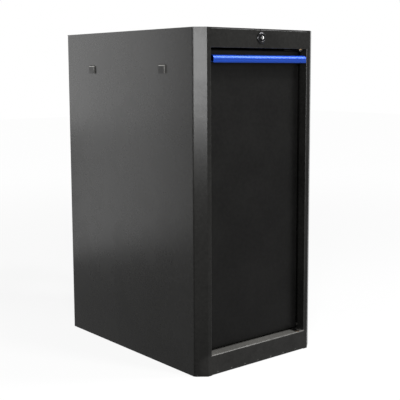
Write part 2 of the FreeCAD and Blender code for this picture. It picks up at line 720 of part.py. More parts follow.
def magnet_screws():
    """Two screws sunk below the magnet's face."""
    screws = []
    x, seat = STOP_CENTRE, magnet_screw_seat()
    for z in magnet_screw_places():
        head = rod(MAGNET_SCREW_HEAD_RADIUS, (x, seat - MAGNET_SCREW_HEAD, z), (x, seat, z))
        shank = rod(MAGNET_SCREW_RADIUS, (x, seat, z), (x, STOP_FRONT + SHELL_SHEET + MAGNET_SCREW_TAIL, z))
        screws.append(head.fuse(shank).removeSplitter())
    return Part.makeCompound(screws)


# ---------------------------------------------------------------- cam lock
def lock_rod(radius, start, end):
    """A cylinder on the lock's axis between two depths behind the front plane."""
    return rod(radius, (0, FRONT + start, LOCK_Z), (0, FRONT + end, LOCK_Z))


def lock_housing():
    """Domed bezel outside the header and a barrel through it."""
    rim = lock_rod(LOCK_BEZEL_RADIUS, 0, -LOCK_BEZEL_RIM)
    dome = Part.makeCone(LOCK_BEZEL_RADIUS, LOCK_BEZEL_FACE_RADIUS, LOCK_BEZEL_DOME,
                         point(0, FRONT - LOCK_BEZEL_RIM, LOCK_Z), point(0, -1, 0))
    barrel = lock_rod(LOCK_BARREL_RADIUS, 0, BARREL_REAR - FRONT)
    bore = lock_rod(LOCK_CORE_RADIUS + LOCK_CORE_CLEARANCE, -LOCK_BEZEL_RIM - LOCK_BEZEL_DOME - BEYOND,
                    BARREL_REAR - FRONT + BEYOND)
    return rim.fuse([dome, barrel]).cut(bore).removeSplitter()


def lock_nut():
    """The six-sided nut that clamps the header against the bezel."""
    arm = LOCK_NUT_ACROSS / 2 / math.cos(math.pi / 6)
    turns = [math.pi * i / 3 for i in range(7)]
    seat = FRONT + SHELL_SHEET
    corners = [point(arm * math.cos(turn), seat, LOCK_Z + arm * math.sin(turn)) for turn in turns]
    nut = Part.Face(Part.makePolygon(corners)).extrude(point(0, LOCK_NUT_THICKNESS, 0))
    return nut.cut(lock_rod(LOCK_BARREL_RADIUS, 0, BARREL_REAR - FRONT))


def cam_square(start, end, clearance=0.0):
    """The square tail of the core, or the hole for it, between two depths."""
    half = CAM_SQUARE / 2 + clearance
    return block((-half, start, LOCK_Z - half), (half, end, LOCK_Z + half))


def lock_cylinder():
    """The turning core: a keyed face in front and a square tail behind."""
    face = -LOCK_BEZEL_RIM - LOCK_BEZEL_DOME - LOCK_CORE_PROUD
    core = lock_rod(LOCK_CORE_RADIUS, face, CAM_FRONT - FRONT)
    tail = cam_square(CAM_FRONT, CAM_REAR)
    keyway = block((-KEYWAY_WIDTH / 2, FRONT + face - BEYOND, LOCK_Z - KEYWAY_HEIGHT / 2),
                   (KEYWAY_WIDTH / 2, FRONT + face + KEYWAY_DEPTH, LOCK_Z + KEYWAY_HEIGHT / 2))
    thread = rod(CAM_SCREW_RADIUS, (0, CAM_REAR - CAM_SCREW_DEPTH, LOCK_Z), (0, CAM_REAR + BEYOND, LOCK_Z))
    return core.fuse(tail).cut([keyway, thread])


def lock_cam():
    """The flat cam. Unlocked it lies level; locked it hangs into the door."""
    half = CAM_WIDTH / 2
    bar = block((0, CAM_FRONT, LOCK_Z - half), (CAM_REACH, CAM_REAR, LOCK_Z + half))
    hub = rod(half, (0, CAM_FRONT, LOCK_Z), (0, CAM_REAR, LOCK_Z))
    hole = cam_square(CAM_FRONT - BEYOND, CAM_REAR + BEYOND)
    return bar.fuse(hub).removeSplitter().cut(hole)


def cam_screw():
    """The screw that holds the cam on the core."""
    head = rod(CAM_SCREW_HEAD_RADIUS, (0, CAM_REAR, LOCK_Z), (0, CAM_REAR + CAM_SCREW_HEAD, LOCK_Z))
    head = head.makeFillet(CAM_SCREW_HEAD / 2, edges_at(head, 1, CAM_REAR + CAM_SCREW_HEAD))
    shank = rod(CAM_SCREW_RADIUS, (0, CAM_REAR - CAM_SCREW_DEPTH, LOCK_Z), (0, CAM_REAR, LOCK_Z))
    return head.fuse(shank).removeSplitter()


# ---------------------------------------------------------------- shelves
def slot_heights():
    """Middle of each slot of an upright, from the bottom up."""
    room = UPRIGHT_TOP - UPRIGHT_BOTTOM - 2 * SLOT_FIRST
    return [UPRIGHT_BOTTOM + SLOT_FIRST + i * SLOT_PITCH for i in range(int(room / SLOT_PITCH) + 1)]


def upright(place):
    """A slotted channel on the left wall."""
    y = UPRIGHT_PLACES[place]
    near, far = y - UPRIGHT_WIDTH / 2, y + UPRIGHT_WIDTH / 2
    corners = [(-SIDE_INNER, near), (-UPRIGHT_FACE, near), (-UPRIGHT_FACE, far), (-SIDE_INNER, far)]
    channel = along_z(sheet_section(corners, UPRIGHT_SHEET), UPRIGHT_BOTTOM, UPRIGHT_TOP)
    slots = [block((-UPRIGHT_FACE - UPRIGHT_SHEET - BEYOND, y - SLOT_WIDTH / 2, z - SLOT_HEIGHT / 2),
                   (-UPRIGHT_FACE + BEYOND, y + SLOT_WIDTH / 2, z + SLOT_HEIGHT / 2)) for z in slot_heights()]
    return channel.cut(slots)


def shelf_seat(above_floor):
    """The height on which a shelf lies: its clips hang in the slots nearest the height asked for."""
    wanted = SILL_HEIGHT + above_floor
    return min(slot_heights(), key=lambda height: abs(height - wanted)) + TONGUE_HEIGHT / 2


def shelf_clip(place, seat):
    """A clip on the left wall: a ledge and a leg outside the upright, and a hooked tongue through its slot."""
    y, face = UPRIGHT_PLACES[place], -UPRIGHT_FACE
    half, thin = CLIP_WIDTH / 2, TONGUE_WIDTH / 2
    ledge = block((face, y - half, seat - CLIP_SHEET), (face + CLIP_REACH, y + half, seat))
    leg = block((face, y - half, seat - CLIP_LEG), (face + CLIP_SHEET, y + half, seat))
    behind = face - UPRIGHT_SHEET - WELD_GAP
    low = seat - TONGUE_HEIGHT
    tongue = block((behind - CLIP_SHEET, y - thin, low), (face, y + thin, seat))
    hook = block((behind - CLIP_SHEET, y - thin, low - CLIP_HOOK_DROP), (behind, y + thin, seat))
    return ledge.fuse([leg, tongue, hook]).removeSplitter()


def shelf_clips(above_floor):
    """The four clips under one shelf."""
    left = [shelf_clip(place, shelf_seat(above_floor)) for place in UPRIGHT_PLACES]
    return Part.makeCompound(left + [mirrored(clip) for clip in left])


def shelf(above_floor):
    """A tray turned down on all sides, with its rim turned in."""
    half = UPRIGHT_FACE - SHELF_SIDE_GAP
    seat = shelf_seat(above_floor)
    low = (-half, STOP_FRONT + SHELL_SHEET + SHELF_BEHIND_STOP, seat)
    high = (half, BACK_PANEL_FRONT - SHELF_REAR_GAP, seat + SHELF_WALL)
    return pan(low, high, SHELF_SHEET, axis=2, closed_low=False, lip=SHELF_LIP)


# ---------------------------------------------------------------- side hooks
def hanging_hook(place):
    """A joggled hook: a plate inside the wall, a web through it, and a tongue that hangs down outside."""
    tongue = -HALF_WIDTH - HOOK_PROUD
    corners = [
        (-SIDE_INNER, HOOK_TOP + HOOK_PLATE),
        (-SIDE_INNER, HOOK_TOP),
        (tongue, HOOK_TOP),
        (tongue, HOOK_TOP - HOOK_TONGUE),
    ]
    y, half = HOOK_PLACES[place], HOOK_WIDTH / 2
    return along_y(sheet_section(corners, HOOK_SHEET), y - half, y + half)


# ---------------------------------------------------------------- the whole object
def nodes():
    """Every piece by its name."""
    return {
        "left_side_panel": left_side_panel(),
        "right_side_panel": right_side_panel(),
        "back_panel": back_panel(),
        "back_panel_rivets": back_panel_rivets(),
        "top_panel": top_panel(),
        "floor_pan": floor_pan(),
        "base_pan": base_pan(),
        "left_front_post": left_front_post(),
        "right_front_post": right_front_post(),
        "header_rail": header_rail(),
        "bottom_rail": bottom_rail(),
        "top_hinge_plate": hinge_plate(at_top=True),
        "bottom_hinge_plate": hinge_plate(at_top=False),
        "top_hinge_bush": hinge_bush(at_top=True),
        "bottom_hinge_bush": hinge_bush(at_top=False),
        "stop_strip": stop_strip(),
        "door_bumpers": door_bumpers(),
        "magnetic_catch": magnetic_catch(),
        "magnet_screws": magnet_screws(),
        "left_front_upright": upright("front"),
        "left_rear_upright": upright("rear"),
        "right_front_upright": mirrored(upright("front")),
        "right_rear_upright": mirrored(upright("rear")),
        "lower_shelf_clips": shelf_clips(LOWER_SHELF_ABOVE_FLOOR),
        "upper_shelf_clips": shelf_clips(UPPER_SHELF_ABOVE_FLOOR),
        "lower_shelf": shelf(LOWER_SHELF_ABOVE_FLOOR),
        "upper_shelf": shelf(UPPER_SHELF_ABOVE_FLOOR),
        "front_hanging_hook": hanging_hook("front"),
        "rear_hanging_hook": hanging_hook("rear"),
        "lock_housing": lock_housing(),
        "lock_nut": lock_nut(),
        "door_skin": door_skin(),
        "door_inner_panel": door_inner_panel(),
        "left_door_stiffener": left_door_stiffener(),
        "right_door_stiffener": right_door_stiffener(),
        "door_handle": door_handle(),
        "handle_screws": handle_screws(),
        "top_hinge_arm": hinge_arm(at_top=True),
        "bottom_hinge_arm": hinge_arm(at_top=False),
        "top_hinge_pin": hinge_pin(at_top=True),
        "bottom_hinge_pin": hinge_pin(at_top=False),
        "lock_strike": lock_strike(),
        "lock_cylinder": lock_cylinder(),
        "lock_cam": lock_cam(),
        "cam_screw": cam_screw(),
    }


os.makedirs("parts", exist_ok=True)
for name, shape in nodes().items():
    shape.exportStep(f"parts/{name}.step")
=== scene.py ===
"""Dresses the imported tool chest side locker.

The sheet-metal pieces keep their construction shapes and get powder coat, zinc, chrome and anodised finishes.
The grip, the lock, the rivets, the screws, the bumpers and the spot welds are modelled here as finer surfaces.
Everything is in metres, +Z up, and the door faces -Y.
"""

from __future__ import annotations

import json
import logging
import math
from abc import ABC, abstractmethod
from collections.abc import Sequence
from dataclasses import dataclass
from enum import Enum

import bpy
import numpy as np
from mathutils import Matrix, Vector

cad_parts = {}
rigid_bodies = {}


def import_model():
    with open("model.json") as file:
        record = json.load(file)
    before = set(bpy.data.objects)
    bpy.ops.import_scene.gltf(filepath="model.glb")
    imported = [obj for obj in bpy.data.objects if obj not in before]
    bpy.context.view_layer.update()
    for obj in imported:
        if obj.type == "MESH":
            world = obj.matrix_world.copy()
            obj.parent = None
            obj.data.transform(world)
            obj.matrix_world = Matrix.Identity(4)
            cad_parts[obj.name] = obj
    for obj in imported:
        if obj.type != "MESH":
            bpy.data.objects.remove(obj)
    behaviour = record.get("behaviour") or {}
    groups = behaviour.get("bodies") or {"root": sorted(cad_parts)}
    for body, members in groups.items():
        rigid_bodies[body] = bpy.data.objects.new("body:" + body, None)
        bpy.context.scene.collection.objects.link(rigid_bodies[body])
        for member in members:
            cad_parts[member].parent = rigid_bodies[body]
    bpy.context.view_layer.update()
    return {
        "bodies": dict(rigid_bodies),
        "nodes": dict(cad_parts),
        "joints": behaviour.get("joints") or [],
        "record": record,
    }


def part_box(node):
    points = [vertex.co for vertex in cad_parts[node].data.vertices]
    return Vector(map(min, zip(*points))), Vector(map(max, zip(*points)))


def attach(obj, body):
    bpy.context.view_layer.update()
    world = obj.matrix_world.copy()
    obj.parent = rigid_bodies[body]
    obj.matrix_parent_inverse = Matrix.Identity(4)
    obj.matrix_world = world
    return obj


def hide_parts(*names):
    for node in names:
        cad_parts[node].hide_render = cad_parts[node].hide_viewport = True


LOG = logging.getLogger("side_locker")
MM = 0.001
SHARP_ANGLE = math.radians(38)
SMALLEST_RADIUS = 0.03 * MM
SHEET = 1.2 * MM  # the thickness of the shell's sheet
WELD_LINE = 5.0 * MM  # the spot welds' height above the floor
HOOK_DROP = 72.2 * MM  # from the cabinet's top down to the bend of the hooks' tongues
HOOKS = ("front_hanging_hook", "rear_hanging_hook")

Colour = tuple[float, float, float]


class Body(str, Enum):
    """The rigid bodies that the pieces ride on."""

    CABINET = "cabinet"
    DOOR = "door"
    LOCK_CORE = "lock_core"


class Slot(str, Enum):
    """The material slots of the record, and HOOK, the hooks' own coat, which the record counts with BODY."""

    BODY = "body_black"
    # The hooks' coat carries painted highlights along the bends and front edges of their tongues.
    HOOK = "rubbed_black"
    DOOR = "door_black"
    GRIP = "handle_blue"
    ZINC = "zinc_steel"
    BLACKENED = "black_steel"
    CHROME = "lock_chrome"
    BRONZE = "bush_bronze"
    RUBBER = "bumper_rubber"
    MAGNET = "magnet_black"


# ---------------------------------------------------------------- surfaces
def rounded_outline(corners: Sequence[tuple[float, float]], radii: Sequence[float], steps: int = 9) -> np.ndarray:
    """A closed outline whose corners are arcs.

    The arc at a corner is tangent to both edges. Its centre lies on the corner's bisector, at the radius divided
    by the sine of half the inner angle, and its points turn evenly from one tangent point to the other.

    Args:
        corners: The sharp corners, in order round the outline.
        radii: One arc radius for each corner.
        steps: Points on each arc.

    Returns:
        An array of points, one row each.
    """
    at = np.asarray(corners, float)
    radius = np.maximum(np.asarray(radii, float), SMALLEST_RADIUS)[:, None]
    back = np.roll(at, 1, axis=0) - at
    ahead = np.roll(at, -1, axis=0) - at
    back /= np.linalg.norm(back, axis=1, keepdims=True)
    ahead /= np.linalg.norm(ahead, axis=1, keepdims=True)
    half = np.arccos(np.clip((back * ahead).sum(axis=1, keepdims=True), -1, 1)) / 2
    bisector = (back + ahead) / np.linalg.norm(back + ahead, axis=1, keepdims=True)
    centre = at + bisector * radius / np.sin(half)
    start = at + back * radius / np.tan(half) - centre
    end = at + ahead * radius / np.tan(half) - centre
    turn = (math.pi - 2 * half)[:, None, :]
    share = np.linspace(0, 1, steps)[None, :, None]
    arc = (np.sin((1 - share) * turn) * start[:, None, :] + np.sin(share * turn) * end[:, None, :]) / np.sin(turn)
    return (centre[:, None, :] + arc).reshape(-1, 2)


def outline_normals(outline: np.ndarray) -> np.ndarray:
    """Unit normals of a closed outline, each square to the chord between a point's two neighbours.

    Args:
        outline: Points in order round the outline.

    Returns:
        One normal for each point, on the left of the walk.
    """
    chord = np.roll(outline, -1, axis=0) - np.roll(outline, 1, axis=0)
    chord /= np.maximum(np.linalg.norm(chord, axis=1, keepdims=True), 1e-12)
    return np.stack([-chord[:, 1], chord[:, 0]], axis=1)


def around(columns: int) -> np.ndarray:
    """Angles that go evenly round a circle, from zero."""
    return np.linspace(0, 2 * math.pi, columns, endpoint=False)


def turned(radii: np.ndarray, depths: np.ndarray, centre: Vector, columns: int) -> np.ndarray:
    """Rings of a shape turned about an axis along Y.

    A point at angle t of the ring with radius r and depth d is the centre plus (r cos t, d, r sin t).

    Args:
        radii: The radius of each ring, or of each ring and column.
        depths: The depth of each ring, or of each ring and column, in the direction of +Y.
        centre: The point of the axis at depth zero.
        columns: Points round each ring.

    Returns:
        An array of rings, columns and coordinates.
    """
    angle = around(columns)
    radii, depths = np.asarray(radii, float), np.asarray(depths, float)
    radii = radii if radii.ndim == 2 else radii[:, None]
    depths = depths if depths.ndim == 2 else depths[:, None]
    across, up = radii * np.cos(angle), radii * np.sin(angle)
    along = np.broadcast_to(depths, across.shape)
    return np.stack([centre.x + across, centre.y + along, centre.z + up], axis=-1)


def copies(rings: np.ndarray, offsets: Sequence[Vector]) -> np.ndarray:
    """The same rings at several places.

    Args:
        rings: One shape's rings.
        offsets: How far each copy is moved.

    Returns:
        An array of shapes, rings, columns and coordinates.
    """
    return rings[None] + np.array([tuple(offset) for offset in offsets])[:, None, None, :]


def ring_piece(name: str, rings: np.ndarray, looped: bool = False) -> bpy.types.Object:
    """A piece whose surface joins each ring to the next one with four-sided faces.

    The two ends are closed by a fan round the middle of the end ring, or, if the shape is looped, the last ring is
    joined to the first. The faces are turned over if the volume that they enclose comes out negative.

    Args:
        name: The piece's name.
        rings: Rings, columns and coordinates, or shapes, rings, columns and coordinates.
        looped: Whether the last ring joins the first.

    Returns:
        The new object, at the origin.
    """
    shapes = rings if rings.ndim == 4 else rings[None]
    count, rows, columns, _ = shapes.shape
    index = np.arange(count * rows * columns).reshape(count, rows, columns)
    lower = index if looped else index[:, :-1]
    upper = np.roll(index, -1, axis=1) if looped else index[:, 1:]
    quads = np.stack([lower, np.roll(lower, -1, axis=2), np.roll(upper, -1, axis=2), upper], axis=-1).reshape(-1, 4)
    points = shapes.reshape(-1, 3)
    fans = np.empty((0, 3), int)
    if not looped:
        middles = shapes[:, [0, -1]].mean(axis=2).reshape(-1, 3)
        hub = len(points) + np.arange(2 * count).reshape(count, 2)
        first, last = index[:, 0], index[:, -1]
        near = np.stack([np.broadcast_to(hub[:, :1], first.shape), np.roll(first, -1, axis=1), first], axis=-1)
        far = np.stack([np.broadcast_to(hub[:, 1:], last.shape), last, np.roll(last, -1, axis=1)], axis=-1)
        fans = np.concatenate([near.reshape(-1, 3), far.reshape(-1, 3)])
        points = np.concatenate([points, middles])
    triangles = np.concatenate([quads[:, [0, 1, 2]], quads[:, [0, 2, 3]], fans])
    corner = points[triangles] - points.mean(axis=0)
    volume = (corner[:, 0] * np.cross(corner[:, 1], corner[:, 2])).sum()
    if volume < 0:
        quads, fans = quads[:, ::-1], fans[:, ::-1]
    mesh = bpy.data.meshes.new(name)
    mesh.from_pydata(points.tolist(), [], quads.tolist() + fans.tolist())
    mesh.polygons.foreach_set("use_smooth", np.ones(len(mesh.polygons), bool))
    mesh.set_sharp_from_angle(angle=SHARP_ANGLE)
    piece = bpy.data.objects.new(name, mesh)
    bpy.context.scene.collection.objects.link(piece)
    return piece


# ---------------------------------------------------------------- shader building
class Effect(Enum):
    """The shader effects that several finishes share."""

    COAT_GRAIN = "coat_grain"
    # Pale lines along edges: wear on some, painted highlights and painted light on others.
    WEAR_AND_HIGHLIGHT_LINE = "rubbed_edge"
    DRAWN_LINES = "drawn_lines"
    DUST_AND_TOP_LIGHT = "settled_dust"
    # A pale film on upward faces: dusty, and painted light from above.
    HANDLING = "handling"


class Board:
    """Adds nodes and links to one shader tree."""

    def __init__(self, tree: bpy.types.NodeTree) -> None:
        """Takes the tree that the nodes go into."""
        self.tree = tree

    def add(self, kind: str, inputs: dict[str | int, object] | None = None, **settings: object) -> bpy.types.Node:
        """Adds a node.

        Args:
            kind: Blender's name of the node type.
            inputs: A value, or an output socket to link, for each named or numbered input.
            **settings: Properties of the node.

        Returns:
            The new node.
        """
        node = self.tree.nodes.new(kind)
        for name, value in settings.items():
            setattr(node, name, value)
        for name, value in (inputs or {}).items():
            self.feed(node, name, value)
        return node

    def feed(self, node: bpy.types.Node, name: str | int, value: object) -> None:
        """Sets one input to a value, or links it to an output socket.

        Args:
            node: The node.
            name: The input's name or number.
            value: The value, or the output socket.
        """
        if isinstance(value, bpy.types.NodeSocket):
            self.tree.links.new(value, node.inputs[name])
        else:
            node.inputs[name].default_value = value

    def math(self, operation: str, first: object, second: object = 0.0) -> bpy.types.NodeSocket:
        """The result of a Math node on one or two values."""
        return self.add("ShaderNodeMath", {0: first, 1: second}, operation=operation).outputs[0]

    def blend(self, first: object, share: float, second: object) -> bpy.types.NodeSocket:
        """The mean of two values, weighted by the first one's share."""
        return self.math("ADD", self.math("MULTIPLY", first, share), self.math("MULTIPLY", second, 1 - share))

    def vector(self, operation: str, first: object, second: object = (0.0, 0.0, 0.0)) -> bpy.types.NodeOutputs:
        """The outputs of a Vector Math node: Vector, and Value for a dot product or a length."""
        return self.add("ShaderNodeVectorMath", {0: first, 1: second}, operation=operation).outputs

    def noise(self, place: object, scale: object, detail: float, distortion: float = 0.0) -> bpy.types.NodeSocket:
        """The value of a noise texture at a place."""
        inputs = {"Vector": place, "Scale": scale, "Detail": detail, "Distortion": distortion}
        return self.add("ShaderNodeTexNoise", inputs).outputs[0]

    def spread(self, value: object, low: float, high: float, to_low: float, to_high: float) -> bpy.types.NodeSocket:
        """A value carried smoothly from one range to another, held at both ends."""
        inputs = {"Value": value, "From Min": low, "From Max": high, "To Min": to_low, "To Max": to_high}
        return self.add("ShaderNodeMapRange", inputs, interpolation_type="SMOOTHSTEP").outputs["Result"]

    def mix(self, share: object, first: object, second: object) -> bpy.types.NodeSocket:
        """A colour between two, by a share.

        Args:
            share: How much of the second colour there is, or its socket.
            first: A colour or a socket.
            second: A colour or a socket.

        Returns:
            The mixed colour.
        """
        node = self.add("ShaderNodeMix", data_type="RGBA")
        for place, value in ((0, share), (6, first), (7, second)):
            self.feed(node, place, (*value, 1.0) if isinstance(value, tuple) else value)
        return node.outputs[2]


class EffectBoard(Board):
    """The tree of a shared effect, which reads a position and puts out single values."""

    def __init__(self, effect: Effect, outputs: Sequence[str], vectors: Sequence[str] = (), **numbers: float) -> None:
        """Starts the group.

        Args:
            effect: Which effect it is.
            outputs: The names of its outputs.
            vectors: The names of its vector inputs, apart from Vector, the position.
            **numbers: The first value of each of its number inputs.
        """
        super().__init__(bpy.data.node_groups.new(effect.value, "ShaderNodeTree"))
        sockets = self.tree.interface
        for name in ("Vector", *vectors):
            sockets.new_socket(name=name, in_out="INPUT", socket_type="NodeSocketVector")
        for name, value in numbers.items():
            sockets.new_socket(name=name, in_out="INPUT", socket_type="NodeSocketFloat").default_value = value
        for name in outputs:
            sockets.new_socket(name=name, in_out="OUTPUT", socket_type="NodeSocketFloat")
        self.given = self.add("NodeGroupInput").outputs
        self.results = self.add("NodeGroupOutput")

    def put(self, name: str, value: bpy.types.NodeSocket) -> None:
        """Links a value to one of the group's outputs."""
        self.feed(self.results, name, value)


def coat_grain_group() -> bpy.types.NodeTree:
    """The texture of sprayed powder: fine grains on a slow orange peel, and a faint cloud in the colour.

    Returns:
        A group that puts out Height for a bump, Speckle for the gloss and the colour, and Cloud for the colour.
    """
    board = EffectBoard(Effect.COAT_GRAIN, ("Height", "Speckle", "Cloud"), Grain=800.0, Peel=160.0, Cloud=9.0)
    place = board.given["Vector"]
    grain = board.noise(place, board.given["Grain"], 2.0)
    peel = board.noise(place, board.given["Peel"], 1.0)
    cloud = board.noise(place, board.given["Cloud"], 4.0)
    board.put("Height", board.blend(grain, 0.55, peel))
    board.put("Speckle", board.spread(peel, 0.2, 0.8, 0.0, 1.0))
    board.put("Cloud", board.spread(cloud, 0.3, 0.7, 0.0, 1.0))
    return board.tree


def wear_and_highlight_line_group() -> bpy.types.NodeTree:
    """A thin pale line along one folded edge: wear on some edges, a painted highlight on others.

    The line starts at Start and runs over Run. For a point P the nearest point of the line is Start + t Run, with
    t = (P - Start) . Run / Run . Run held between 0 and 1. The mask is Paleness up to 0.6 Width from it, falls to
    nothing at Width, and is broken up by noise.

    Returns:
        A group that puts out Mask.
    """
    board = EffectBoard(Effect.WEAR_AND_HIGHLIGHT_LINE, ("Mask",), ("Start", "Run"), Width=0.002, Bare=1.0)
    given = board.given
    run = given["Run"]
    from_start = board.vector("SUBTRACT", given["Vector"], given["Start"])["Vector"]
    reached, length = (board.vector("DOT_PRODUCT", way, run)["Value"] for way in (from_start, run))
    share = board.add("ShaderNodeClamp", {"Value": board.math("DIVIDE", reached, length)}).outputs[0]
    nearest = board.add("ShaderNodeVectorMath", {0: run, "Scale": share}, operation="SCALE").outputs["Vector"]
    away = board.vector("SUBTRACT", from_start, nearest)["Vector"]
    distance = board.vector("LENGTH", away)["Value"]
    line = board.spread(board.math("DIVIDE", distance, given["Width"]), 0.6, 1.0, 1.0, 0.0)
    broken = board.spread(board.noise(given["Vector"], 60.0, 5.0), 0.3, 0.6, 0.55, 1.0)
    board.put("Mask", board.math("MULTIPLY", given["Bare"], board.math("MULTIPLY", line, broken)))
    return board.tree


def drawn_lines_group() -> bpy.types.NodeTree:
    """Fine parallel lines, as extruding, drawing or brushing leaves them: noise squeezed across the lines.

    Returns:
        A group that puts out Height for a bump and Tone for the roughness and colour.
    """
    board = EffectBoard(Effect.DRAWN_LINES, ("Height", "Tone"), ("Squeeze",))
    squeezed = board.vector("MULTIPLY", board.given["Vector"], board.given["Squeeze"])["Vector"]
    board.put("Height", board.noise(squeezed, 1.0, 3.0))
    board.put("Tone", board.spread(board.noise(squeezed, 0.12, 2.0), 0.3, 0.7, 0.0, 1.0))
    return board.tree


def dust_and_top_light_group() -> bpy.types.NodeTree:
    """A thin film of dust on what faces up, thicker in patches and flecked.

    Returns:
        A thin dusty film on what faces up, thicker in patches and flecked, which is also painted light from above.
    """
    board = EffectBoard(Effect.DUST_AND_TOP_LIGHT, ("Mask",), ("Normal",))
    place = board.given["Vector"]
    facing = board.add("ShaderNodeSeparateXYZ", {0: board.given["Normal"]}).outputs["Z"]
    upward = board.spread(facing, 0.75, 1.0, 0.0, 1.0)
    film = board.spread(board.noise(place, 14.0, 6.0), 0.25, 0.75, 0.6, 0.82)
    fleck = board.spread(board.noise(place, 420.0, 1.0), 0.4, 0.7, 0.75, 1.0)
    board.put("Mask", board.math("MULTIPLY", upward, board.math("MULTIPLY", film, fleck)))
    return board.tree


def handling_group() -> bpy.types.NodeTree:
    """Smudges from hands: slow uneven patches that change the gloss a little.

    Returns:
        A group that puts out Smudge.
    """
    board = EffectBoard(Effect.HANDLING, ("Smudge",), Size=18.0)
    smudge = board.noise(board.given["Vector"], board.given["Size"], 5.0, distortion=0.6)
    board.put("Smudge", board.spread(smudge, 0.38, 0.68, 0.0, 1.0))
    return board.tree


def shared_groups() -> dict[Effect, bpy.types.NodeTree]:
    """Builds each shared effect once.

    Returns:
        The groups by effect.
    """
    return {
        Effect.COAT_GRAIN: coat_grain_group(),
        Effect.WEAR_AND_HIGHLIGHT_LINE: wear_and_highlight_line_group(),
        Effect.DRAWN_LINES: drawn_lines_group(),
        Effect.DUST_AND_TOP_LIGHT: dust_and_top_light_group(),
        Effect.HANDLING: handling_group(),
    }


# ---------------------------------------------------------------- finishes
@dataclass(frozen=True)
class Edge:
    """A folded edge made paler, by wear on some and as a painted highlight on others: its ends, the line's width and
    its paleness.
    """

    start: tuple[float, float, float]
    end: tuple[float, float, float]
    width: float
    paleness: float

    @classmethod
    def level(cls, reach: float, depth: float, height: float, width: float, paleness: float) -> Edge:
        """An edge that runs level across the front, as far to the left as to the right."""
        return cls((-reach, depth, height), (reach, depth, height), width, paleness)

    @classmethod
    def upright(cls, across: float, depth: float, foot: float, top: float, width: float, paleness: float) -> Edge:
        """An edge that runs straight up."""
        return cls((across, depth, foot), (across, depth, top), width, paleness)


class CoatBoard(Board):
    """The tree of one material: a Principled shader that reads the position on the object."""

    def __init__(self, material: bpy.types.Material, groups: dict[Effect, bpy.types.NodeTree]) -> None:
        """Empties the material's tree and puts in the shader.

        Args:
            material: The material.
            groups: The shared effects.
        """
        material.use_nodes = True
        material.node_tree.nodes.clear()
        super().__init__(material.node_tree)
        self.groups = groups
        self.shader = self.add("ShaderNodeBsdfPrincipled")
        self.add("ShaderNodeOutputMaterial", {"Surface": self.shader.outputs[0]})
        self.place = self.add("ShaderNodeTexCoord").outputs["Object"]

    def effect(self, effect: Effect, **inputs: object) -> bpy.types.NodeOutputs:
        """A shared effect at the position on the object.

        Args:
            effect: Which effect it is.
            **inputs: A value, or an output socket to link, for each input that isn't left as it is.

        Returns:
            The effect's outputs.
        """
        return self.add("ShaderNodeGroup", {"Vector": self.place, **inputs}, node_tree=self.groups[effect]).outputs

    def rubbed(self, colour: bpy.types.NodeSocket, wear_and_highlight_colour: Colour, edges: Sequence[Edge]) -> bpy.types.NodeSocket:
        """A colour that gives way to a paler one along edges: wear on some, painted highlights and painted light on
        others.

        Args:
            colour: The colour where the surface is whole.
            wear_and_highlight_colour: The pale colour of the wear and of the painted highlights.
            edges: The edges that are made paler.

        Returns:
            The mixed colour.
        """
        for edge in edges:
            run = tuple(Vector(edge.end) - Vector(edge.start))
            mask = self.effect(Effect.WEAR_AND_HIGHLIGHT_LINE, Start=edge.start, Run=run, Width=edge.width, Bare=edge.paleness)
            colour = self.mix(mask["Mask"], colour, wear_and_highlight_colour)
        return colour

    def finish(self, inputs: dict[str, object], height: bpy.types.NodeSocket, relief: float) -> None:
        """Sets or links the shader's inputs, and bumps the surface.

        Args:
            inputs: A value, or an output socket to link, for each named input.
            height: The height of the bump.
            relief: How far the bump stands out.
        """
        bump = self.add("ShaderNodeBump", {"Height": height, "Distance": relief}).outputs[0]
        for name, value in {**inputs, "Normal": bump}.items():
            self.feed(self.shader, name, value)


def scaled(colour: Colour, factors: Sequence[float]) -> list[Colour]:
    """One colour made deeper or paler by each factor, with no part above one."""
    return [tuple(min(1.0, factor * part) for part in colour) for factor in factors]


@dataclass(frozen=True)
class Finish(ABC):
    """A surface finish that can make its material."""

    slot: Slot

    @abstractmethod
    def wire(self, board: CoatBoard) -> None:
        """Builds the finish's own nodes.

        Args:
            board: The material's tree.
        """

    def material(self, groups: dict[Effect, bpy.types.NodeTree]) -> bpy.types.Material:
        """Makes the material.

        Args:
            groups: The shared effects.

        Returns:
            A material named after the finish's slot.
        """
        material = bpy.data.materials.new(self.slot.value)
        self.wire(CoatBoard(material, groups))
        return material


@dataclass(frozen=True)
class PowderCoat(Finish):
    """Black powder coat on steel sheet: a fine grain, edge wear and painted highlights, and a dusty film with painted
    top light that takes off the gloss.
    """

    colour: Colour
    dust: Colour
    roughness: tuple[float, float]
    specular: float
    relief: float
    edges: tuple[Edge, ...] = ()
    # The pale colour of edge wear and of the painted highlights.
    wear_and_highlight_colour: Colour = (0.36, 0.355, 0.34)
    clouding: tuple[float, float] = (0.7, 1.34)
    dust_roughness: float = 0.75

    def wire(self, board: CoatBoard) -> None:
        """Mixes cloud, edge wear with painted highlights, and the dusty film with painted top light into the colour
        and the roughness, and bumps the grain.

        Args:
            board: The material's tree.
        """
        grain = board.effect(Effect.COAT_GRAIN)
        smudge = board.effect(Effect.HANDLING)["Smudge"]
        normal = board.add("ShaderNodeNewGeometry").outputs["Normal"]
        # The dusty film on upward faces, which is also painted light from above.
        dust = board.effect(Effect.DUST_AND_TOP_LIGHT, Normal=normal)["Mask"]
        colour = board.mix(board.blend(grain["Cloud"], 0.5, grain["Speckle"]), *scaled(self.colour, self.clouding))
        colour = board.mix(dust, board.rubbed(colour, self.wear_and_highlight_colour, self.edges), self.dust)
        gloss = board.spread(board.blend(smudge, 0.6, grain["Speckle"]), 0.0, 1.0, *self.roughness)
        roughness = board.math("ADD", gloss, board.math("MULTIPLY", dust, self.dust_roughness))
        board.finish({"Base Color": colour, "Roughness": roughness, "Specular IOR Level": self.specular},
                     grain["Height"], self.relief)


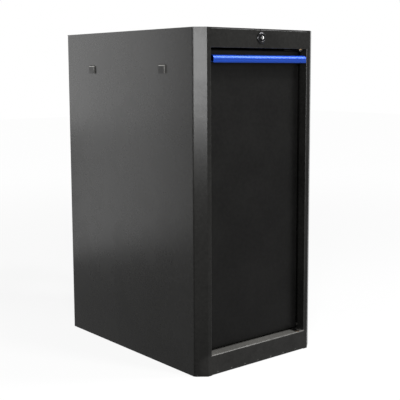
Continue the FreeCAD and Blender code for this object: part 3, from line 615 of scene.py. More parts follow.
@dataclass(frozen=True)
class Anodised(Finish):
    """Dyed anodised aluminium: blasted and dyed metal, with drawn lines, under a thin clear oxide layer."""

    colour: Colour
    roughness: tuple[float, float]
    squeeze: tuple[float, float, float]
    relief: float
    streaks: tuple[float, float] = (0.8, 1.18)
    smudge_size: float = 45.0
    oxide: float = 0.3
    oxide_roughness: float = 0.33

    def wire(self, board: CoatBoard) -> None:
        """Streaks the dye and the roughness along the extrusion, and lays the oxide over them.

        Args:
            board: The material's tree.
        """
        lines = board.effect(Effect.DRAWN_LINES, Squeeze=self.squeeze)
        smudge = board.effect(Effect.HANDLING, Size=self.smudge_size)["Smudge"]
        board.finish({
            "Base Color": board.mix(lines["Tone"], *scaled(self.colour, self.streaks)),
            "Roughness": board.spread(board.blend(lines["Tone"], 0.5, smudge), 0.0, 1.0, *self.roughness),
            "Metallic": 1.0,
            "Coat Weight": self.oxide,
            "Coat Roughness": self.oxide_roughness,
        }, lines["Height"], self.relief)


@dataclass(frozen=True)
class Metal(Finish):
    """Unplated or plated metal, from polished nickel to zinc: brushed lines, tarnish clouds, smudges, and edge wear
    with painted highlights.
    """

    colour: Colour
    tarnish: Colour
    roughness: tuple[float, float]
    squeeze: tuple[float, float, float]
    relief: float
    edges: tuple[Edge, ...] = ()
    wear_and_highlight_colour: Colour = (0.24, 0.24, 0.235)
    smudge_size: float = 90.0

    def wire(self, board: CoatBoard) -> None:
        """Clouds the colour with tarnish and varies the roughness with lines and smudges.

        Args:
            board: The material's tree.
        """
        lines = board.effect(Effect.DRAWN_LINES, Squeeze=self.squeeze)
        smudge = board.effect(Effect.HANDLING, Size=self.smudge_size)["Smudge"]
        colour = board.mix(smudge, self.colour, self.tarnish)
        board.finish({
            "Base Color": board.rubbed(colour, self.wear_and_highlight_colour, self.edges),
            "Roughness": board.spread(board.blend(lines["Tone"], 0.5, smudge), 0.0, 1.0, *self.roughness),
            "Metallic": 1.0,
        }, lines["Height"], self.relief)


@dataclass(frozen=True)
class Moulded(Finish):
    """Rubber or plastic from a mould: an even colour with a fine matt grain and scuffs."""

    colour: Colour
    scuffed: Colour
    roughness: tuple[float, float]
    relief: float
    grain: float = 2200.0
    peel: float = 500.0
    smudge_size: float = 120.0

    def wire(self, board: CoatBoard) -> None:
        """Lightens the colour where it is scuffed, and bumps the mould's grain.

        Args:
            board: The material's tree.
        """
        grain = board.effect(Effect.COAT_GRAIN, Grain=self.grain, Peel=self.peel)
        smudge = board.effect(Effect.HANDLING, Size=self.smudge_size)["Smudge"]
        board.finish({
            "Base Color": board.mix(smudge, self.colour, self.scuffed),
            "Roughness": board.spread(smudge, 0.0, 1.0, *self.roughness),
        }, grain["Height"], self.relief)


def locker_wear_and_highlights() -> tuple[Edge, ...]:
    """The pale lines on the cabinet, placed from the frame: wear where hands and tools rub, and painted light.

    The spot welds' crests are made pale, as painted glints, because they alone reach into a line that runs just
    before the rail.

    Returns:
        The sill's edge beside the door, with wear and a painted highlight line; the header's edge beside the door;
        the kicked band along the rail; painted glints on the crests of the spot welds; painted highlight lines on the
        bends beside the opening; and a pale band painted over the shade on the wall in front of each hook.
    """
    rail_low, rail_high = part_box("bottom_rail")
    half, front, header = rail_high.x, rail_low.y + SHEET / 2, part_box("header_rail")[0].z
    edges = [
        # The sill's front edge: wear and a painted highlight line.
        Edge.level(half, front, rail_high.z - SHEET / 2, width=1.5 * SHEET, paleness=0.25),
        Edge.level(half, front, header + SHEET / 2, width=SHEET, paleness=0.06),
        Edge.level(half, front, 0.5 * rail_high.z, width=0.75 * rail_high.z, paleness=0.022),
        # Painted glints: the crests of the spot welds are made pale.
        Edge.level(half, rail_low.y - 3.0 * MM, rail_low.z + WELD_LINE, width=2.96 * MM, paleness=1.0),
    ]
    # Painted highlight lines on the bends beside the opening.
    for side in (-1, 1):
        edges.append(Edge.upright(side * (half + SHEET / 2), front, rail_high.z, header, width=SHEET, paleness=0.05))
    wall, margin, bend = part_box("left_side_panel")[0].x, 1.5 * MM, hook_bend()
    # A pale band painted on the wall in front of each hook: painted light over the hook's shade.
    for hook in HOOKS:
        low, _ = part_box(hook)
        edges.append(Edge.upright(wall, low.y - 1.6 * MM, low.z + margin, bend - margin, width=2.4 * MM, paleness=0.2))
    return tuple(edges)


def hook_bend() -> float:
    """The height of the bend at the top of the hooks' tongues."""
    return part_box("top_panel")[1].z - HOOK_DROP


def hook_painted_highlights() -> tuple[Edge, ...]:
    """Painted highlights on the hooks: pale lines along the bend and the front edge of each tongue.

    Returns:
        Two edges for each hook.
    """
    edges, bend = [], hook_bend()
    for hook in HOOKS:
        low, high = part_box(hook)
        tongue = low.x + 0.7 * MM
        # Painted highlights along the bend and down the front edge of each tongue.
        edges += [
            Edge((tongue, low.y, bend), (tongue, high.y, bend), width=2.3 * MM, paleness=1.0),
            Edge.upright(tongue, low.y, low.z, bend, width=1.2 * MM, paleness=0.5),
        ]
    return tuple(edges)


def keyway_wear_and_highlight() -> tuple[Edge, ...]:
    """A paler band across the middle of the lock core's face: plating that keys wear off, and a painted highlight.

    Returns:
        The band.
    """
    low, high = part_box("lock_cylinder")
    middle, reach = (low + high) / 2, 2.6 * MM
    start, end = ((middle.x + side * reach, low.y, middle.z) for side in (-1, 1))
    # The band is both key wear and a painted highlight on the core's face.
    return (Edge(start, end, width=2.9 * MM, paleness=0.8),)


def finishes() -> tuple[Finish, ...]:
    """Every finish of the locker.

    Returns:
        One finish for each slot.
    """
    # The pale grey is the colour of the dusty film on upward faces, which is also painted top light.
    black, grey_dust_and_top_light = (0.0078, 0.0077, 0.0072), (0.085, 0.083, 0.077)
    along_x, along_z, round_y = (6.0, 2600.0, 2600.0), (900.0, 900.0, 40.0), (700.0, 60.0, 700.0)
    return (
        PowderCoat(Slot.BODY, colour=black, dust=grey_dust_and_top_light, roughness=(0.255, 0.295), specular=0.094,
                   relief=0.026 * MM, edges=locker_wear_and_highlights()),
        PowderCoat(Slot.HOOK, colour=black, dust=grey_dust_and_top_light, roughness=(0.265, 0.285), specular=0.052,
                   relief=0.02 * MM, edges=hook_painted_highlights()),
        PowderCoat(Slot.DOOR, colour=(0.0046, 0.0045, 0.0043), dust=(0.07, 0.069, 0.065), roughness=(0.31, 0.35),
                   specular=0.072, relief=0.02 * MM),
        Anodised(Slot.GRIP, colour=(0.0003, 0.0310, 0.238), roughness=(0.47, 0.52), squeeze=along_x,
                 relief=0.006 * MM),
        Metal(Slot.ZINC, colour=(0.58, 0.58, 0.55), tarnish=(0.47, 0.46, 0.40), roughness=(0.30, 0.48),
              squeeze=along_z, relief=0.01 * MM),
        Metal(Slot.BLACKENED, colour=(0.022, 0.022, 0.022), tarnish=(0.035, 0.032, 0.028), roughness=(0.35, 0.5),
              squeeze=along_z, relief=0.01 * MM),
        # The chrome's colour is set near black as a painted dark reflection of the surroundings; only the lamps'
        # highlights stay bright.
        Metal(Slot.CHROME, colour=(0.022, 0.022, 0.023), tarnish=(0.016, 0.016, 0.017), roughness=(0.17, 0.23),
              squeeze=round_y, relief=0.004 * MM, edges=keyway_wear_and_highlight()),
        Metal(Slot.BRONZE, colour=(0.25, 0.17, 0.09), tarnish=(0.12, 0.08, 0.045), roughness=(0.4, 0.6),
              squeeze=(800.0, 800.0, 800.0), relief=0.02 * MM),
        Moulded(Slot.RUBBER, colour=(0.012, 0.012, 0.012), scuffed=(0.035, 0.034, 0.032), roughness=(0.62, 0.85),
                relief=0.04 * MM),
        Moulded(Slot.MAGNET, colour=(0.022, 0.022, 0.024), scuffed=(0.055, 0.054, 0.053), roughness=(0.45, 0.7),
                relief=0.02 * MM),
    )


# ---------------------------------------------------------------- sub-assemblies
@dataclass
class SubAssembly(ABC):
    """A group of pieces that belong together on the bench."""

    frame: dict
    materials: dict[Slot, bpy.types.Material]

    @abstractmethod
    def build(self) -> list[bpy.types.Object]:
        """Dresses the group's nodes and makes its new pieces.

        Returns:
            The new pieces.
        """

    def dress(self, slot: Slot, *nodes: str) -> None:
        """Gives construction nodes the material of a slot.

        Args:
            slot: The finish.
            *nodes: Names of the nodes.
        """
        for node in nodes:
            piece = self.frame["nodes"][node]
            for place in piece.material_slots:
                place.material = self.materials[slot]

    def seat(self, piece: bpy.types.Object, slot: Slot, body: Body, *nodes: str) -> bpy.types.Object:
        """Finishes a new piece: its material, the body that it rides on and the nodes that it stands for.

        Args:
            piece: The new piece.
            slot: Its finish.
            body: The body that carries it.
            *nodes: The construction nodes that it replaces.

        Returns:
            The piece.
        """
        piece.data.materials.append(self.materials[slot])
        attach(piece, body.value)
        if nodes:
            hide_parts(*nodes)
        return piece


@dataclass
class Screw:
    """A headed screw along Y with a cross recess in its face, which looks towards -Y."""

    head_radius: float
    head_height: float
    shank_radius: float
    shank_length: float
    recess_length: float
    recess_width: float
    recess_depth: float
    columns: int = 48
    fall: float = 0.35
    floor_rise: float = 0.45
    softness: float = 0.08

    def rings(self, seat: Vector) -> np.ndarray:
        """The screw's surface.

        From the tail the rings run along the shank, out under the head and up its rim. Over the face the height at
        radius r is that of a flat dome, the head's height times 1 - fall (r / R)^2, less the recess. The recess is
        two crossed slots, each a smooth step across it times one along it, 1 / (1 + exp((|x| - half) / soft)), and
        its floor rises evenly towards the slots' ends.

        Args:
            seat: The point of the axis where the head meets what it holds.

        Returns:
            Rings from the tail to the middle of the face.
        """
        stem_radii = np.array([0.7, 1.0, 1.0, 1.0]) * self.shank_radius
        stem_depths = np.array([1.0, 0.93, 0.5, 0.0]) * self.shank_length
        rim_radii = np.array([0.98, 1.0, 1.0]) * self.head_radius
        rim_depths = np.array([0.0, 0.03, 0.45]) * -self.head_height
        radii = np.concatenate([stem_radii, rim_radii])
        depths = np.concatenate([stem_depths, rim_depths])
        side = turned(radii, depths, seat, self.columns)
        face = np.linspace(0.97, 0.04, 22) * self.head_radius
        angle = around(self.columns)
        across, up = np.outer(face, np.cos(angle)), np.outer(face, np.sin(angle))
        soft = self.softness * self.recess_width

        def slot(wide: np.ndarray, long: np.ndarray) -> np.ndarray:
            """One slot: a smooth step across it, times a smooth step along it.

            Args:
                wide: Distances from the slot's middle line.
                long: Distances along it.

            Returns:
                One in the slot, zero outside it.
            """
            inside = 1 / (1 + np.exp((np.abs(wide) - self.recess_width / 2) / soft))
            reach = 1 / (1 + np.exp((np.abs(long) - self.recess_length / 2) / soft))
            return inside * reach

        cross = np.maximum(slot(across, up), slot(up, across))
        slope = 1 - self.floor_rise * np.hypot(across, up) / (self.recess_length / 2)
        dome = self.head_height * (1 - self.fall * (face / self.head_radius) ** 2)
        heights = dome[:, None] - self.recess_depth * cross * np.clip(slope, 0, 1)
        return np.concatenate([side, turned(face, -heights, seat, self.columns)])


@dataclass
class Shell(SubAssembly):
    """The outer shell and the front frame, with the back panel's rivets and the lower rail's spot welds."""

    rivet_head_radius: float = 3.6 * MM
    rivet_stem_radius: float = 2.0 * MM
    rivet_rim: float = 0.2
    rivet_dimple_radius: float = 0.34
    rivet_dimple_depth: float = 0.75
    rivet_count: int = 5
    weld_radius: float = 2.3 * MM
    weld_height: float = 0.45 * MM
    weld_middle_height: float = 0.35
    weld_root: float = 0.3 * MM
    weld_pitch: float = 37.5 * MM
    weld_middle: float = -6.0 * MM
    weld_count: int = 7

    def build(self) -> list[bpy.types.Object]:
        """Coats the sheets, and makes the rivets and the welds.

        Returns:
            The new pieces.
        """
        self.dress(Slot.BODY, "left_side_panel", "right_side_panel", "back_panel", "top_panel", "floor_pan",
                   "base_pan", "left_front_post", "right_front_post", "header_rail", "bottom_rail")
        return [self.rivets(), self.spot_welds()]

    def rivets(self) -> bpy.types.Object:
        """Ten domed blind rivets, each with the dimple of its broken mandrel.

        The dome's height at share x of the head's radius is h sqrt(1 - (1 - rim^2) x^2), which leaves a rim of that
        share of it, and the dimple is a smaller half ellipse taken away in the middle.

        Returns:
            One piece with all rivets.
        """
        low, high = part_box("back_panel_rivets")
        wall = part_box("back_panel")[1].y + SHEET
        radius, proud, tail = self.rivet_head_radius, high.y - wall, wall - low.y
        stem_radii = np.array([0.75, 1.0, 1.0, 1.0]) * self.rivet_stem_radius
        stem_depths = np.array([-tail, 0.6 * MM - tail, -0.4 * tail, 0.0])
        face = np.linspace(1.0, 0.05, 18)
        dome = proud * np.sqrt(1 - (1 - self.rivet_rim ** 2) * face ** 2)
        dimple = self.rivet_dimple_depth * proud * np.sqrt(np.clip(1 - (face / self.rivet_dimple_radius) ** 2, 0, 1))
        radii = np.concatenate([stem_radii, [radius], radius * face])
        depths = np.concatenate([stem_depths, [0.0], dome - dimple])
        rings = turned(radii, depths, Vector((0, wall, 0)), 28)
        lowest, highest = low.z + radius, high.z - radius
        places = [Vector((x, 0, z)) for x in (low.x + radius, high.x - radius)
                  for z in np.linspace(lowest, highest, self.rivet_count)]
        piece = ring_piece("blind_rivets", copies(rings, places))
        return self.seat(piece, Slot.ZINC, Body.CABINET, "back_panel_rivets")

    def spot_welds(self) -> bpy.types.Object:
        """A row of spot welds along the foot of the front, as low coated buttons with a sunk middle.

        At share x of the radius the height is H (m + (1 - m) sin(pi x^0.7)), with m the share of it that the middle
        keeps, and over the outermost sixth it falls to the rail. So a rounded ring stands round a shallow dish.

        Returns:
            One piece with all welds.
        """
        low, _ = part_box("bottom_rail")
        face = np.linspace(1.0, 0.04, 14)
        swell = self.weld_middle_height + (1 - self.weld_middle_height) * np.sin(math.pi * face ** 0.7)
        ring = self.weld_height * swell * np.clip(6 * (1 - face), 0, 1)
        radii = np.concatenate([[1.0], face]) * self.weld_radius
        depths = np.concatenate([[self.weld_root], -ring])
        rings = turned(radii, depths, Vector((0, low.y, low.z + WELD_LINE)), 24)
        first = self.weld_middle - (self.weld_count - 1) / 2 * self.weld_pitch
        places = [Vector((first + i * self.weld_pitch, 0, 0)) for i in range(self.weld_count)]
        piece = ring_piece("front_spot_welds", copies(rings, places))
        return self.seat(piece, Slot.BODY, Body.CABINET)


@dataclass
class DoorStop(SubAssembly):
    """The strip that the closed door rests on, with its rubber buttons and its magnet."""

    bumper_dish: float = 0.5 * MM
    bumper_rounding: float = 0.22
    magnet_screw_head: float = 1.4 * MM

    def build(self) -> list[bpy.types.Object]:
        """Coats the strip, cases the magnet, and makes the buttons and the magnet's screws.

        Returns:
            The new pieces.
        """
        self.dress(Slot.BODY, "stop_strip")
        self.dress(Slot.MAGNET, "magnetic_catch")
        return [self.bumpers(), self.magnet_screws()]

    def bumpers(self) -> bpy.types.Object:
        """Two rubber buttons with a rounded rim and a dished face.

        The rim is a quarter circle of radius q. Inside it, at share x of what is left of the radius, the face has
        sunk by dish (1 + cos(pi x)) / 2.

        Returns:
            One piece with both buttons.
        """
        low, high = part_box("door_bumpers")
        radius = (high.x - low.x) / 2
        height = high.y - low.y
        turn = np.linspace(0, math.pi / 2, 8)
        round_off = self.bumper_rounding * radius
        rim_radii = radius - round_off * (1 - np.cos(turn))
        rim_depths = -(height - round_off) - round_off * np.sin(turn)
        share = np.linspace(0.9, 0.05, 10)
        dished = -height + self.bumper_dish * (1 + np.cos(math.pi * share)) / 2
        radii = np.concatenate([[radius], rim_radii, share * (radius - round_off)])
        depths = np.concatenate([[0.0], rim_depths, dished])
        rings = turned(radii, depths, Vector(((low.x + high.x) / 2, high.y, 0)), 36)
        places = [Vector((0, 0, low.z + radius)), Vector((0, 0, high.z - radius))]
        return self.seat(ring_piece("rubber_bumpers", copies(rings, places)), Slot.RUBBER, Body.CABINET,
                         "door_bumpers")

    def magnet_screws(self) -> bpy.types.Object:
        """The two cross-headed screws that are sunk in the magnet.

        Returns:
            One piece with both screws.
        """
        low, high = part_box("magnet_screws")
        radius, height = (high.x - low.x) / 2, self.magnet_screw_head
        screw = Screw(head_radius=radius, head_height=height, shank_radius=1.5 * MM,
                      shank_length=high.y - low.y - height, recess_length=3.2 * MM, recess_width=0.75 * MM,
                      recess_depth=0.9 * MM)
        rings = screw.rings(Vector(((low.x + high.x) / 2, low.y + height, 0)))
        places = [Vector((0, 0, low.z + radius)), Vector((0, 0, high.z - radius))]
        return self.seat(ring_piece("magnet_cross_screws", copies(rings, places)), Slot.ZINC, Body.CABINET,
                         "magnet_screws")


@dataclass
class Shelving(SubAssembly):
    """The slotted uprights, the clips and the two shelves."""

    def build(self) -> list[bpy.types.Object]:
        """Coats the uprights and shelves, and plates the clips.

        Returns:
            No new pieces.
        """
        self.dress(Slot.BODY, "left_front_upright", "left_rear_upright", "right_front_upright",
                   "right_rear_upright", "lower_shelf", "upper_shelf")
        self.dress(Slot.ZINC, "lower_shelf_clips", "upper_shelf_clips")
        return []


@dataclass
class SideHooks(SubAssembly):
    """The two hooks that hang the locker on a tool chest."""

    def build(self) -> list[bpy.types.Object]:
        """Gives the hooks their own duller coat, with painted highlights along their tongues."""
        self.dress(Slot.HOOK, *HOOKS)
        return []


@dataclass
class PivotHinges(SubAssembly):
    """The plates and bushes in the frame, and the arms and pins on the door."""

    def build(self) -> list[bpy.types.Object]:
        """Plates the fixed plates, blackens the arms and pins, and leaves the bushes bronze.

        Returns:
            No new pieces.
        """
        self.dress(Slot.ZINC, "top_hinge_plate", "bottom_hinge_plate")
        self.dress(Slot.BLACKENED, "top_hinge_arm", "bottom_hinge_arm", "top_hinge_pin", "bottom_hinge_pin")
        self.dress(Slot.BRONZE, "top_hinge_bush", "bottom_hinge_bush")
        return []


@dataclass
class DoorLeaf(SubAssembly):
    """The recessed door with its full-width grip."""

    wall: float = 2.4 * MM
    flange_height: float = 14.0 * MM
    nose_radius: float = 8.0 * MM
    heel_radius: float = 3.0 * MM
    lip_end_radius: float = 1.1 * MM
    flange_foot_radii: tuple[float, float] = (0.4 * MM, 0.8 * MM)
    end_bevel: float = 0.45 * MM

    def build(self) -> list[bpy.types.Object]:
        """Coats the door's sheets, plates the strike and the screws, and makes the grip.

        Returns:
            The new pieces.
        """
        self.dress(Slot.DOOR, "door_skin", "door_inner_panel", "left_door_stiffener", "right_door_stiffener")
        self.dress(Slot.ZINC, "lock_strike", "handle_screws")
        return [self.grip()]

    def grip_outline(self, low: Vector, high: Vector) -> np.ndarray:
        """The grip's section in Y and Z: a flange, a flat top, a round nose and a lip with a round end.

        Args:
            low: The grip's lowest corner.
            high: The grip's highest corner.

        Returns:
            The closed outline, walked with the metal on its right.
        """
        wall, flange_low = self.wall, high.z - self.flange_height
        corners = [
            (high.y, flange_low), (high.y, high.z), (low.y, high.z), (low.y, low.z), (low.y + wall, low.z),
            (low.y + wall, high.z - wall), (high.y - wall, high.z - wall), (high.y - wall, flange_low),
        ]
        rear_foot, front_foot = self.flange_foot_radii
        radii = [rear_foot, self.heel_radius, self.nose_radius, self.lip_end_radius, self.lip_end_radius,
                 self.nose_radius - wall, self.heel_radius - wall, front_foot]
        return rounded_outline(corners, radii, steps=12)

    def grip(self) -> bpy.types.Object:
        """The extruded grip: its section carried along X.

        Near each end the section shrinks by a quarter circle of the bevel's radius, R - sqrt(R^2 - (R - d)^2) at
        distance d from the end, so that the sawn edges are softly broken.

        Returns:
            The grip.
        """
        low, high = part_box("door_handle")
        outline = self.grip_outline(low, high)
        normals = outline_normals(outline)
        bevel = self.end_bevel
        near = bevel * (1 - np.cos(np.linspace(0, math.pi / 2, 9)))
        middle = np.linspace(low.x + 4 * bevel, high.x - 4 * bevel, 48)
        places = np.concatenate([low.x + near, middle, (high.x - near)[::-1]])
        ends = np.minimum(places - low.x, high.x - places)
        shrink = bevel - np.sqrt(np.clip(bevel ** 2 - np.clip(bevel - ends, 0, bevel) ** 2, 0, None))
        section = outline[None] + normals[None] * shrink[:, None, None]
        across = np.broadcast_to(places[:, None, None], section[..., :1].shape)
        rings = np.concatenate([across, section], axis=-1)
        return self.seat(ring_piece("blue_grip", rings), Slot.GRIP, Body.DOOR, "door_handle")


@dataclass
class CamLock(SubAssembly):
    """The cam lock in the header: bezel, core, nut, cam and screw."""

    bezel_radius: float = 11.9 * MM
    bezel_rim: float = 1.4 * MM
    crest_radius: float = 8.3 * MM
    crest_height: float = 3.8 * MM
    fullness: float = 1.25
    groove: float = 1.5 * MM
    bore_radius: float = 6.55 * MM
    barrel_radius: float = 8.5 * MM
    thread_pitch: float = 1.0 * MM
    thread_depth: float = 0.45 * MM
    edge_break: float = 0.3 * MM
    keyway_width: float = 2.2 * MM
    keyway_height: float = 8.4 * MM
    keyway_depth: float = 16.0 * MM
    keyway_chamfer: float = 0.25 * MM
    keyway_roundness: float = 0.25
    tail_half: float = 3.5 * MM
    tail_squareness: int = 12
    nut_cone_depths: tuple[float, float, float] = (0.0, 0.01 * MM, 1.0 * MM)
    nut_cone_steps: tuple[float, float, float] = (-0.6 * MM, -0.3 * MM, 1.7 * MM)
    columns: int = 96

    def build(self) -> list[bpy.types.Object]:
        """Plates the cam, and makes the bezel, the core, the nut and the screw."""
        self.dress(Slot.ZINC, "lock_cam")
        return [self.bezel(), self.key_core(), self.nut(), self.cam_screw()]

    def axis(self) -> Vector:
        """The lock's axis where it meets the front of the header."""
        low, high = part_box("lock_housing")
        return Vector(((low.x + high.x) / 2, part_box("header_rail")[0].y, (low.z + high.z) / 2))

    def bezel(self) -> bpy.types.Object:
        """The domed bezel and its threaded barrel, as one closed section turned about the lock's axis.

        From the rim to the crest the dome's height at share x of the way out is h (1 - x^p)^(1/p), with p the
        fullness: one gives a cone and two an ellipse. Inside the crest a quarter ellipse falls into the groove round
        the core. The thread's radius at depth d and angle t is the barrel's, less the thread's depth times a
        triangle wave of d / pitch - t / 2 pi.

        Returns:
            The bezel.
        """
        centre = self.axis()
        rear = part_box("lock_housing")[1].y - centre.y
        share = np.cos(np.linspace(0, math.pi / 2, 22))
        rise = (1 - share ** self.fullness) ** (1 / self.fullness)
        dome_radii = self.crest_radius + (self.bezel_radius - self.crest_radius) * share
        dome_depths = -self.bezel_rim - (self.crest_height - self.bezel_rim) * rise
        fall = np.linspace(0, math.pi / 2, 9)[1:]
        cup_radii = self.crest_radius - (self.crest_radius - self.bore_radius) * np.sin(fall)
        cup_depths = -self.crest_height + self.groove * (1 - np.cos(fall))
        bore_depths = np.linspace(cup_depths[-1], rear, 12)[1:]
        threaded = np.linspace(rear - 0.6 * MM, 0.6 * MM, 150)
        angle = around(self.columns)
        phase = (threaded[:, None] / self.thread_pitch - angle[None] / (2 * math.pi)) % 1.0
        thread = self.barrel_radius - self.thread_depth * 2 * np.abs(phase - 0.5)
        plain = [
            (np.array([self.bezel_radius - 0.4 * MM, self.bezel_radius]), np.array([0.0, -self.edge_break])),
            (dome_radii, dome_depths),
            (cup_radii, cup_depths),
            (np.full(len(bore_depths), self.bore_radius), bore_depths),
            (np.array([self.barrel_radius - 1.1 * MM, self.barrel_radius - 0.5 * MM]),
             np.array([rear, rear - self.edge_break])),
        ]
        radii = np.concatenate([part for part, _ in plain])
        depths = np.concatenate([part for _, part in plain])
        rings = np.concatenate([
            turned(radii, depths, centre, self.columns),
            turned(thread, threaded, centre, self.columns),
            turned([self.barrel_radius - 0.2 * MM], [0.0], centre, self.columns),
        ])
        return self.seat(ring_piece("lock_bezel", rings, looped=True), Slot.CHROME, Body.CABINET, "lock_housing")

    def key_core(self) -> bpy.types.Object:
        """The turning core, with a keyway that sinks into its face and a square tail.

        The keyway's outline at angle t is a superellipse: half its width times |cos t|^q, and half its height times
        |sin t|^q, each with the sign of its cosine or sine, and with q the roundness of its corners. The tail's
        outline is a square with round corners: its half side over the p-norm of (cos t, sin t). Rings run from the
        tail over the round core to the face, across it to the keyway's chamfer and down to the keyway's floor.

        Returns:
            The core.
        """
        low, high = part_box("lock_cylinder")
        centre = self.axis()
        radius = (high.x - low.x) / 2
        face, rear = low.y - centre.y, high.y - centre.y
        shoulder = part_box("lock_cam")[0].y - centre.y
        angle = around(self.columns)
        cosine, sine = np.cos(angle), np.sin(angle)

        power, edge = self.tail_squareness, self.edge_break
        square = self.tail_half / (np.abs(cosine) ** power + np.abs(sine) ** power) ** (1 / power)
        tail = turned(np.stack([0.9 * square, square, square]), np.array([rear, rear - edge, shoulder]), centre,
                      self.columns)
        body = turned([radius, radius, radius - 0.35 * MM, radius - 1.3 * MM], [shoulder, face + edge, face, face],
                      centre, self.columns)

        def keyway(grow: float, depth: float) -> np.ndarray:
            """One ring of the keyway.

            Args:
                grow: How much wider it is on each side than the keyway.
                depth: Its depth behind the front of the header.

            Returns:
                The ring's points.
            """
            across = (self.keyway_width / 2 + grow) * np.sign(cosine) * np.abs(cosine) ** self.keyway_roundness
            up = (self.keyway_height / 2 + grow) * np.sign(sine) * np.abs(sine) ** self.keyway_roundness
            along = np.full_like(across, centre.y + depth)
            return np.stack([centre.x + across, along, centre.z + up], axis=-1)

        chamfer = self.keyway_chamfer
        slot = np.stack([keyway(chamfer, face), keyway(0.0, face + chamfer), keyway(0.0, face + self.keyway_depth)])
        rings = np.concatenate([tail, body, slot])
        return self.seat(ring_piece("lock_key_core", rings), Slot.CHROME, Body.LOCK_CORE, "lock_cylinder")

    def nut(self) -> bpy.types.Object:
        """The six-sided nut, with its corners turned off to a cone.

        The outer radius at angle t is the smaller of the hexagon's, a / cos(u) with u the angle from the middle of
        the nearest flat, and the cone's at that depth.

        Returns:
            The nut.
        """
        low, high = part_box("lock_nut")
        centre = self.axis()
        flat = (high.z - low.z) / 2
        near, far = low.y - centre.y, high.y - centre.y
        angle = around(self.columns)
        from_flat = (angle % (math.pi / 3)) - math.pi / 6
        hexagon = flat / np.cos(from_flat)
        step, cone = np.array(self.nut_cone_depths), flat + np.array(self.nut_cone_steps)
        depths, cone = np.concatenate([near + step, far - step[::-1]]), np.concatenate([cone, cone[::-1]])
        outside = np.minimum(hexagon[None], cone[:, None])
        inside = np.broadcast_to(self.barrel_radius, (2, self.columns))
        radii = np.concatenate([outside, inside])
        all_depths = np.concatenate([depths, [far, near]])
        rings = turned(radii, all_depths, centre, self.columns)
        return self.seat(ring_piece("lock_hex_nut", rings, looped=True), Slot.ZINC, Body.CABINET, "lock_nut")

    def cam_screw(self) -> bpy.types.Object:
        """The cross-headed screw behind the cam, turned round to face the inside of the cabinet.

        Returns:
            The screw.
        """
        low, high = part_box("cam_screw")
        centre = self.axis()
        radius, seat = (high.x - low.x) / 2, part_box("lock_cam")[1].y
        screw = Screw(head_radius=radius, head_height=high.y - seat, shank_radius=2.0 * MM, shank_length=seat - low.y,
                      recess_length=6.0 * MM, recess_width=1.3 * MM, recess_depth=1.5 * MM)
        rings = screw.rings(Vector((centre.x, 0.0, centre.z)))
        rings[..., 1] = seat - rings[..., 1]
        return self.seat(ring_piece("cam_cross_screw", rings), Slot.ZINC, Body.LOCK_CORE, "cam_screw")


# ---------------------------------------------------------------- studio
@dataclass(frozen=True)
class Softbox:
    """A rectangular lamp: where it stands, what it looks at, its size and its power."""

    name: str
    place: tuple[float, float, float]
    aim: tuple[float, float, float]
    width: float
    height: float
    watts: float

    def hang(self) -> None:
        """Puts the lamp into the scene."""
        lamp = bpy.data.lights.new(self.name, "AREA")
        lamp.shape = "RECTANGLE"
        lamp.size, lamp.size_y = self.width, self.height
        lamp.energy = self.watts
        stand = bpy.data.objects.new(self.name, lamp)
        stand.location = self.place
        stand.rotation_euler = (Vector(self.aim) - Vector(self.place)).to_track_quat("-Z", "Y").to_euler()
        stand.visible_camera = False
        bpy.context.scene.collection.objects.link(stand)


@dataclass(frozen=True)
class Camera:
    """The camera: its place, its turn, and its focal length and middle in pixels of a square render."""

    place: tuple[float, float, float] = (-1.2206, -1.5309, 0.6127)
    yaw: float = -39.64
    pitch: float = -7.28
    roll: float = -0.22
    focal_pixels: float = 859.7
    middle_pixel: tuple[float, float] = (204.2, 182.1)
    picture_pixels: float = 400.0

    def set_up(self) -> None:
        """Makes the camera and gives it to the scene."""
        data = bpy.data.cameras.new("portrait_camera")
        data.lens = data.sensor_width * self.focal_pixels / self.picture_pixels
        centre = self.picture_pixels / 2
        data.shift_x = (centre - self.middle_pixel[0]) / self.picture_pixels
        data.shift_y = (self.middle_pixel[1] - centre) / self.picture_pixels
        data.dof.use_dof = False
        camera = bpy.data.objects.new("portrait_camera", data)
        turn = (Matrix.Rotation(math.radians(self.yaw), 4, "Z")
                @ Matrix.Rotation(math.radians(90 + self.pitch), 4, "X")
                @ Matrix.Rotation(math.radians(self.roll), 4, "Z"))
        camera.matrix_world = Matrix.Translation(self.place) @ turn
        bpy.context.scene.collection.objects.link(camera)
        bpy.context.scene.camera = camera


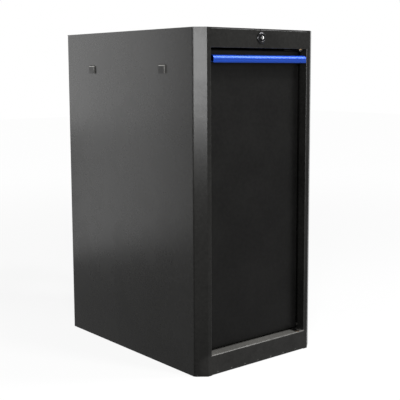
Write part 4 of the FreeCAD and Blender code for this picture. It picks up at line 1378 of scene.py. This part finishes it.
@dataclass(frozen=True)
class Studio:
    """The pale floor, the white surroundings and the lamps."""

    floor_half: float = 9.0
    floor_colour: Colour = (0.07, 0.07, 0.07)
    near_glow: float = 0.885
    far_glow: float = 0.972
    glow_reach: tuple[float, float] = (0.4, 3.5)
    fill: float = 0.15
    softboxes: tuple[Softbox, ...] = (
        Softbox("side_low_softbox", place=(-0.70, 0.75, 0.25), aim=(-0.70, 0.0, 0.25),
                width=0.54, height=0.40, watts=2.2),
        Softbox("side_high_softbox", place=(-0.605, 0.75, 0.825), aim=(-0.605, 0.0, 0.825),
                width=0.65, height=0.75, watts=7.2),
        Softbox("front_softbox", place=(-0.79, -1.005, 0.69), aim=(-0.1545, -0.2327, 0.69),
                width=0.17, height=0.50, watts=17.5),
        Softbox("key_softbox", place=(0.374, -1.428, 2.35), aim=(0.0, -0.24, 0.5),
                width=0.30, height=0.30, watts=42.0),
        Softbox("grip_softbox", place=(1.01, -0.97, 1.62), aim=(0.0, -0.244, 0.64),
                width=0.38, height=1.00, watts=38.0),
    )

    def build(self) -> None:
        """Lays the floor, lights the scene and sets the view."""
        self.lay_floor()
        self.surround()
        for softbox in self.softboxes:
            softbox.hang()
        Camera().set_up()
        bpy.context.scene.view_settings.view_transform = "Standard"

    @staticmethod
    def seen(board: Board) -> bpy.types.NodeSocket:
        """Tells the rays that see the surroundings from those that only light the object.

        Args:
            board: The tree of the floor or the world.

        Returns:
            One for rays from the camera, from gloss and through glass, and zero for all others.
        """
        path = board.add("ShaderNodeLightPath").outputs
        direct = board.math("MAXIMUM", path["Is Camera Ray"], path["Is Glossy Ray"])
        return board.math("MAXIMUM", direct, path["Is Transmission Ray"])

    def lay_floor(self) -> None:
        """A square floor, pale under the lamps and lifted to white for the rays that see it."""
        side = np.linspace(-self.floor_half, self.floor_half, 9)
        across, along = np.meshgrid(side, side, indexing="ij")
        points = np.stack([across, along, np.zeros_like(across)], axis=-1).reshape(-1, 3)
        index = np.arange(len(points)).reshape(across.shape)
        faces = np.stack([index[:-1, :-1], index[1:, :-1], index[1:, 1:], index[:-1, 1:]], axis=-1).reshape(-1, 4)
        mesh = bpy.data.meshes.new("studio_floor")
        mesh.from_pydata(points.tolist(), [], faces.tolist())
        floor = bpy.data.objects.new("studio_floor", mesh)
        bpy.context.scene.collection.objects.link(floor)
        material = bpy.data.materials.new("studio_floor")
        material.use_nodes = True
        board = Board(material.node_tree)
        shader = material.node_tree.nodes["Principled BSDF"]
        board.feed(shader, "Base Color", (*self.floor_colour, 1.0))
        board.feed(shader, "Roughness", 0.9)
        board.feed(shader, "Specular IOR Level", 0.0)
        board.feed(shader, "Emission Color", (1.0, 1.0, 1.0, 1.0))
        place = board.add("ShaderNodeTexCoord").outputs["Object"]
        away = board.vector("LENGTH", place)["Value"]
        glow = board.spread(away, *self.glow_reach, self.near_glow, self.far_glow)
        board.feed(shader, "Emission Strength", board.math("MULTIPLY", self.seen(board), glow))
        mesh.materials.append(material)

    def surround(self) -> None:
        """A world that is white to the rays that see it, and a dimmer even fill for the light on the object."""
        world = bpy.data.worlds.new("studio")
        bpy.context.scene.world = world
        world.use_nodes = True
        board = Board(world.node_tree)
        background = world.node_tree.nodes["Background"]
        board.feed(background, "Color", (1.0, 1.0, 1.0, 1.0))
        board.feed(background, "Strength", board.spread(self.seen(board), 0.0, 1.0, self.fill, 1.0))


# ---------------------------------------------------------------- the whole scene
def corners(box: tuple[Vector, Vector]) -> list[list[float]]:
    """A box as plain lists of numbers."""
    return [[float(value) for value in corner] for corner in box]


def main() -> None:
    """Loads the frame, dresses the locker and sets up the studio."""
    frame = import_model()
    groups = shared_groups()
    materials = {finish.slot: finish.material(groups) for finish in finishes()}
    for kind in (Shell, DoorStop, Shelving, SideHooks, PivotHinges, DoorLeaf, CamLock):
        for piece in kind(frame, materials).build():
            LOG.info("%s: %s, %d faces", kind.__name__, piece.name, len(piece.data.polygons))
    Studio().build()


if __name__ == "__main__":
    logging.basicConfig(level=logging.INFO)
    main()
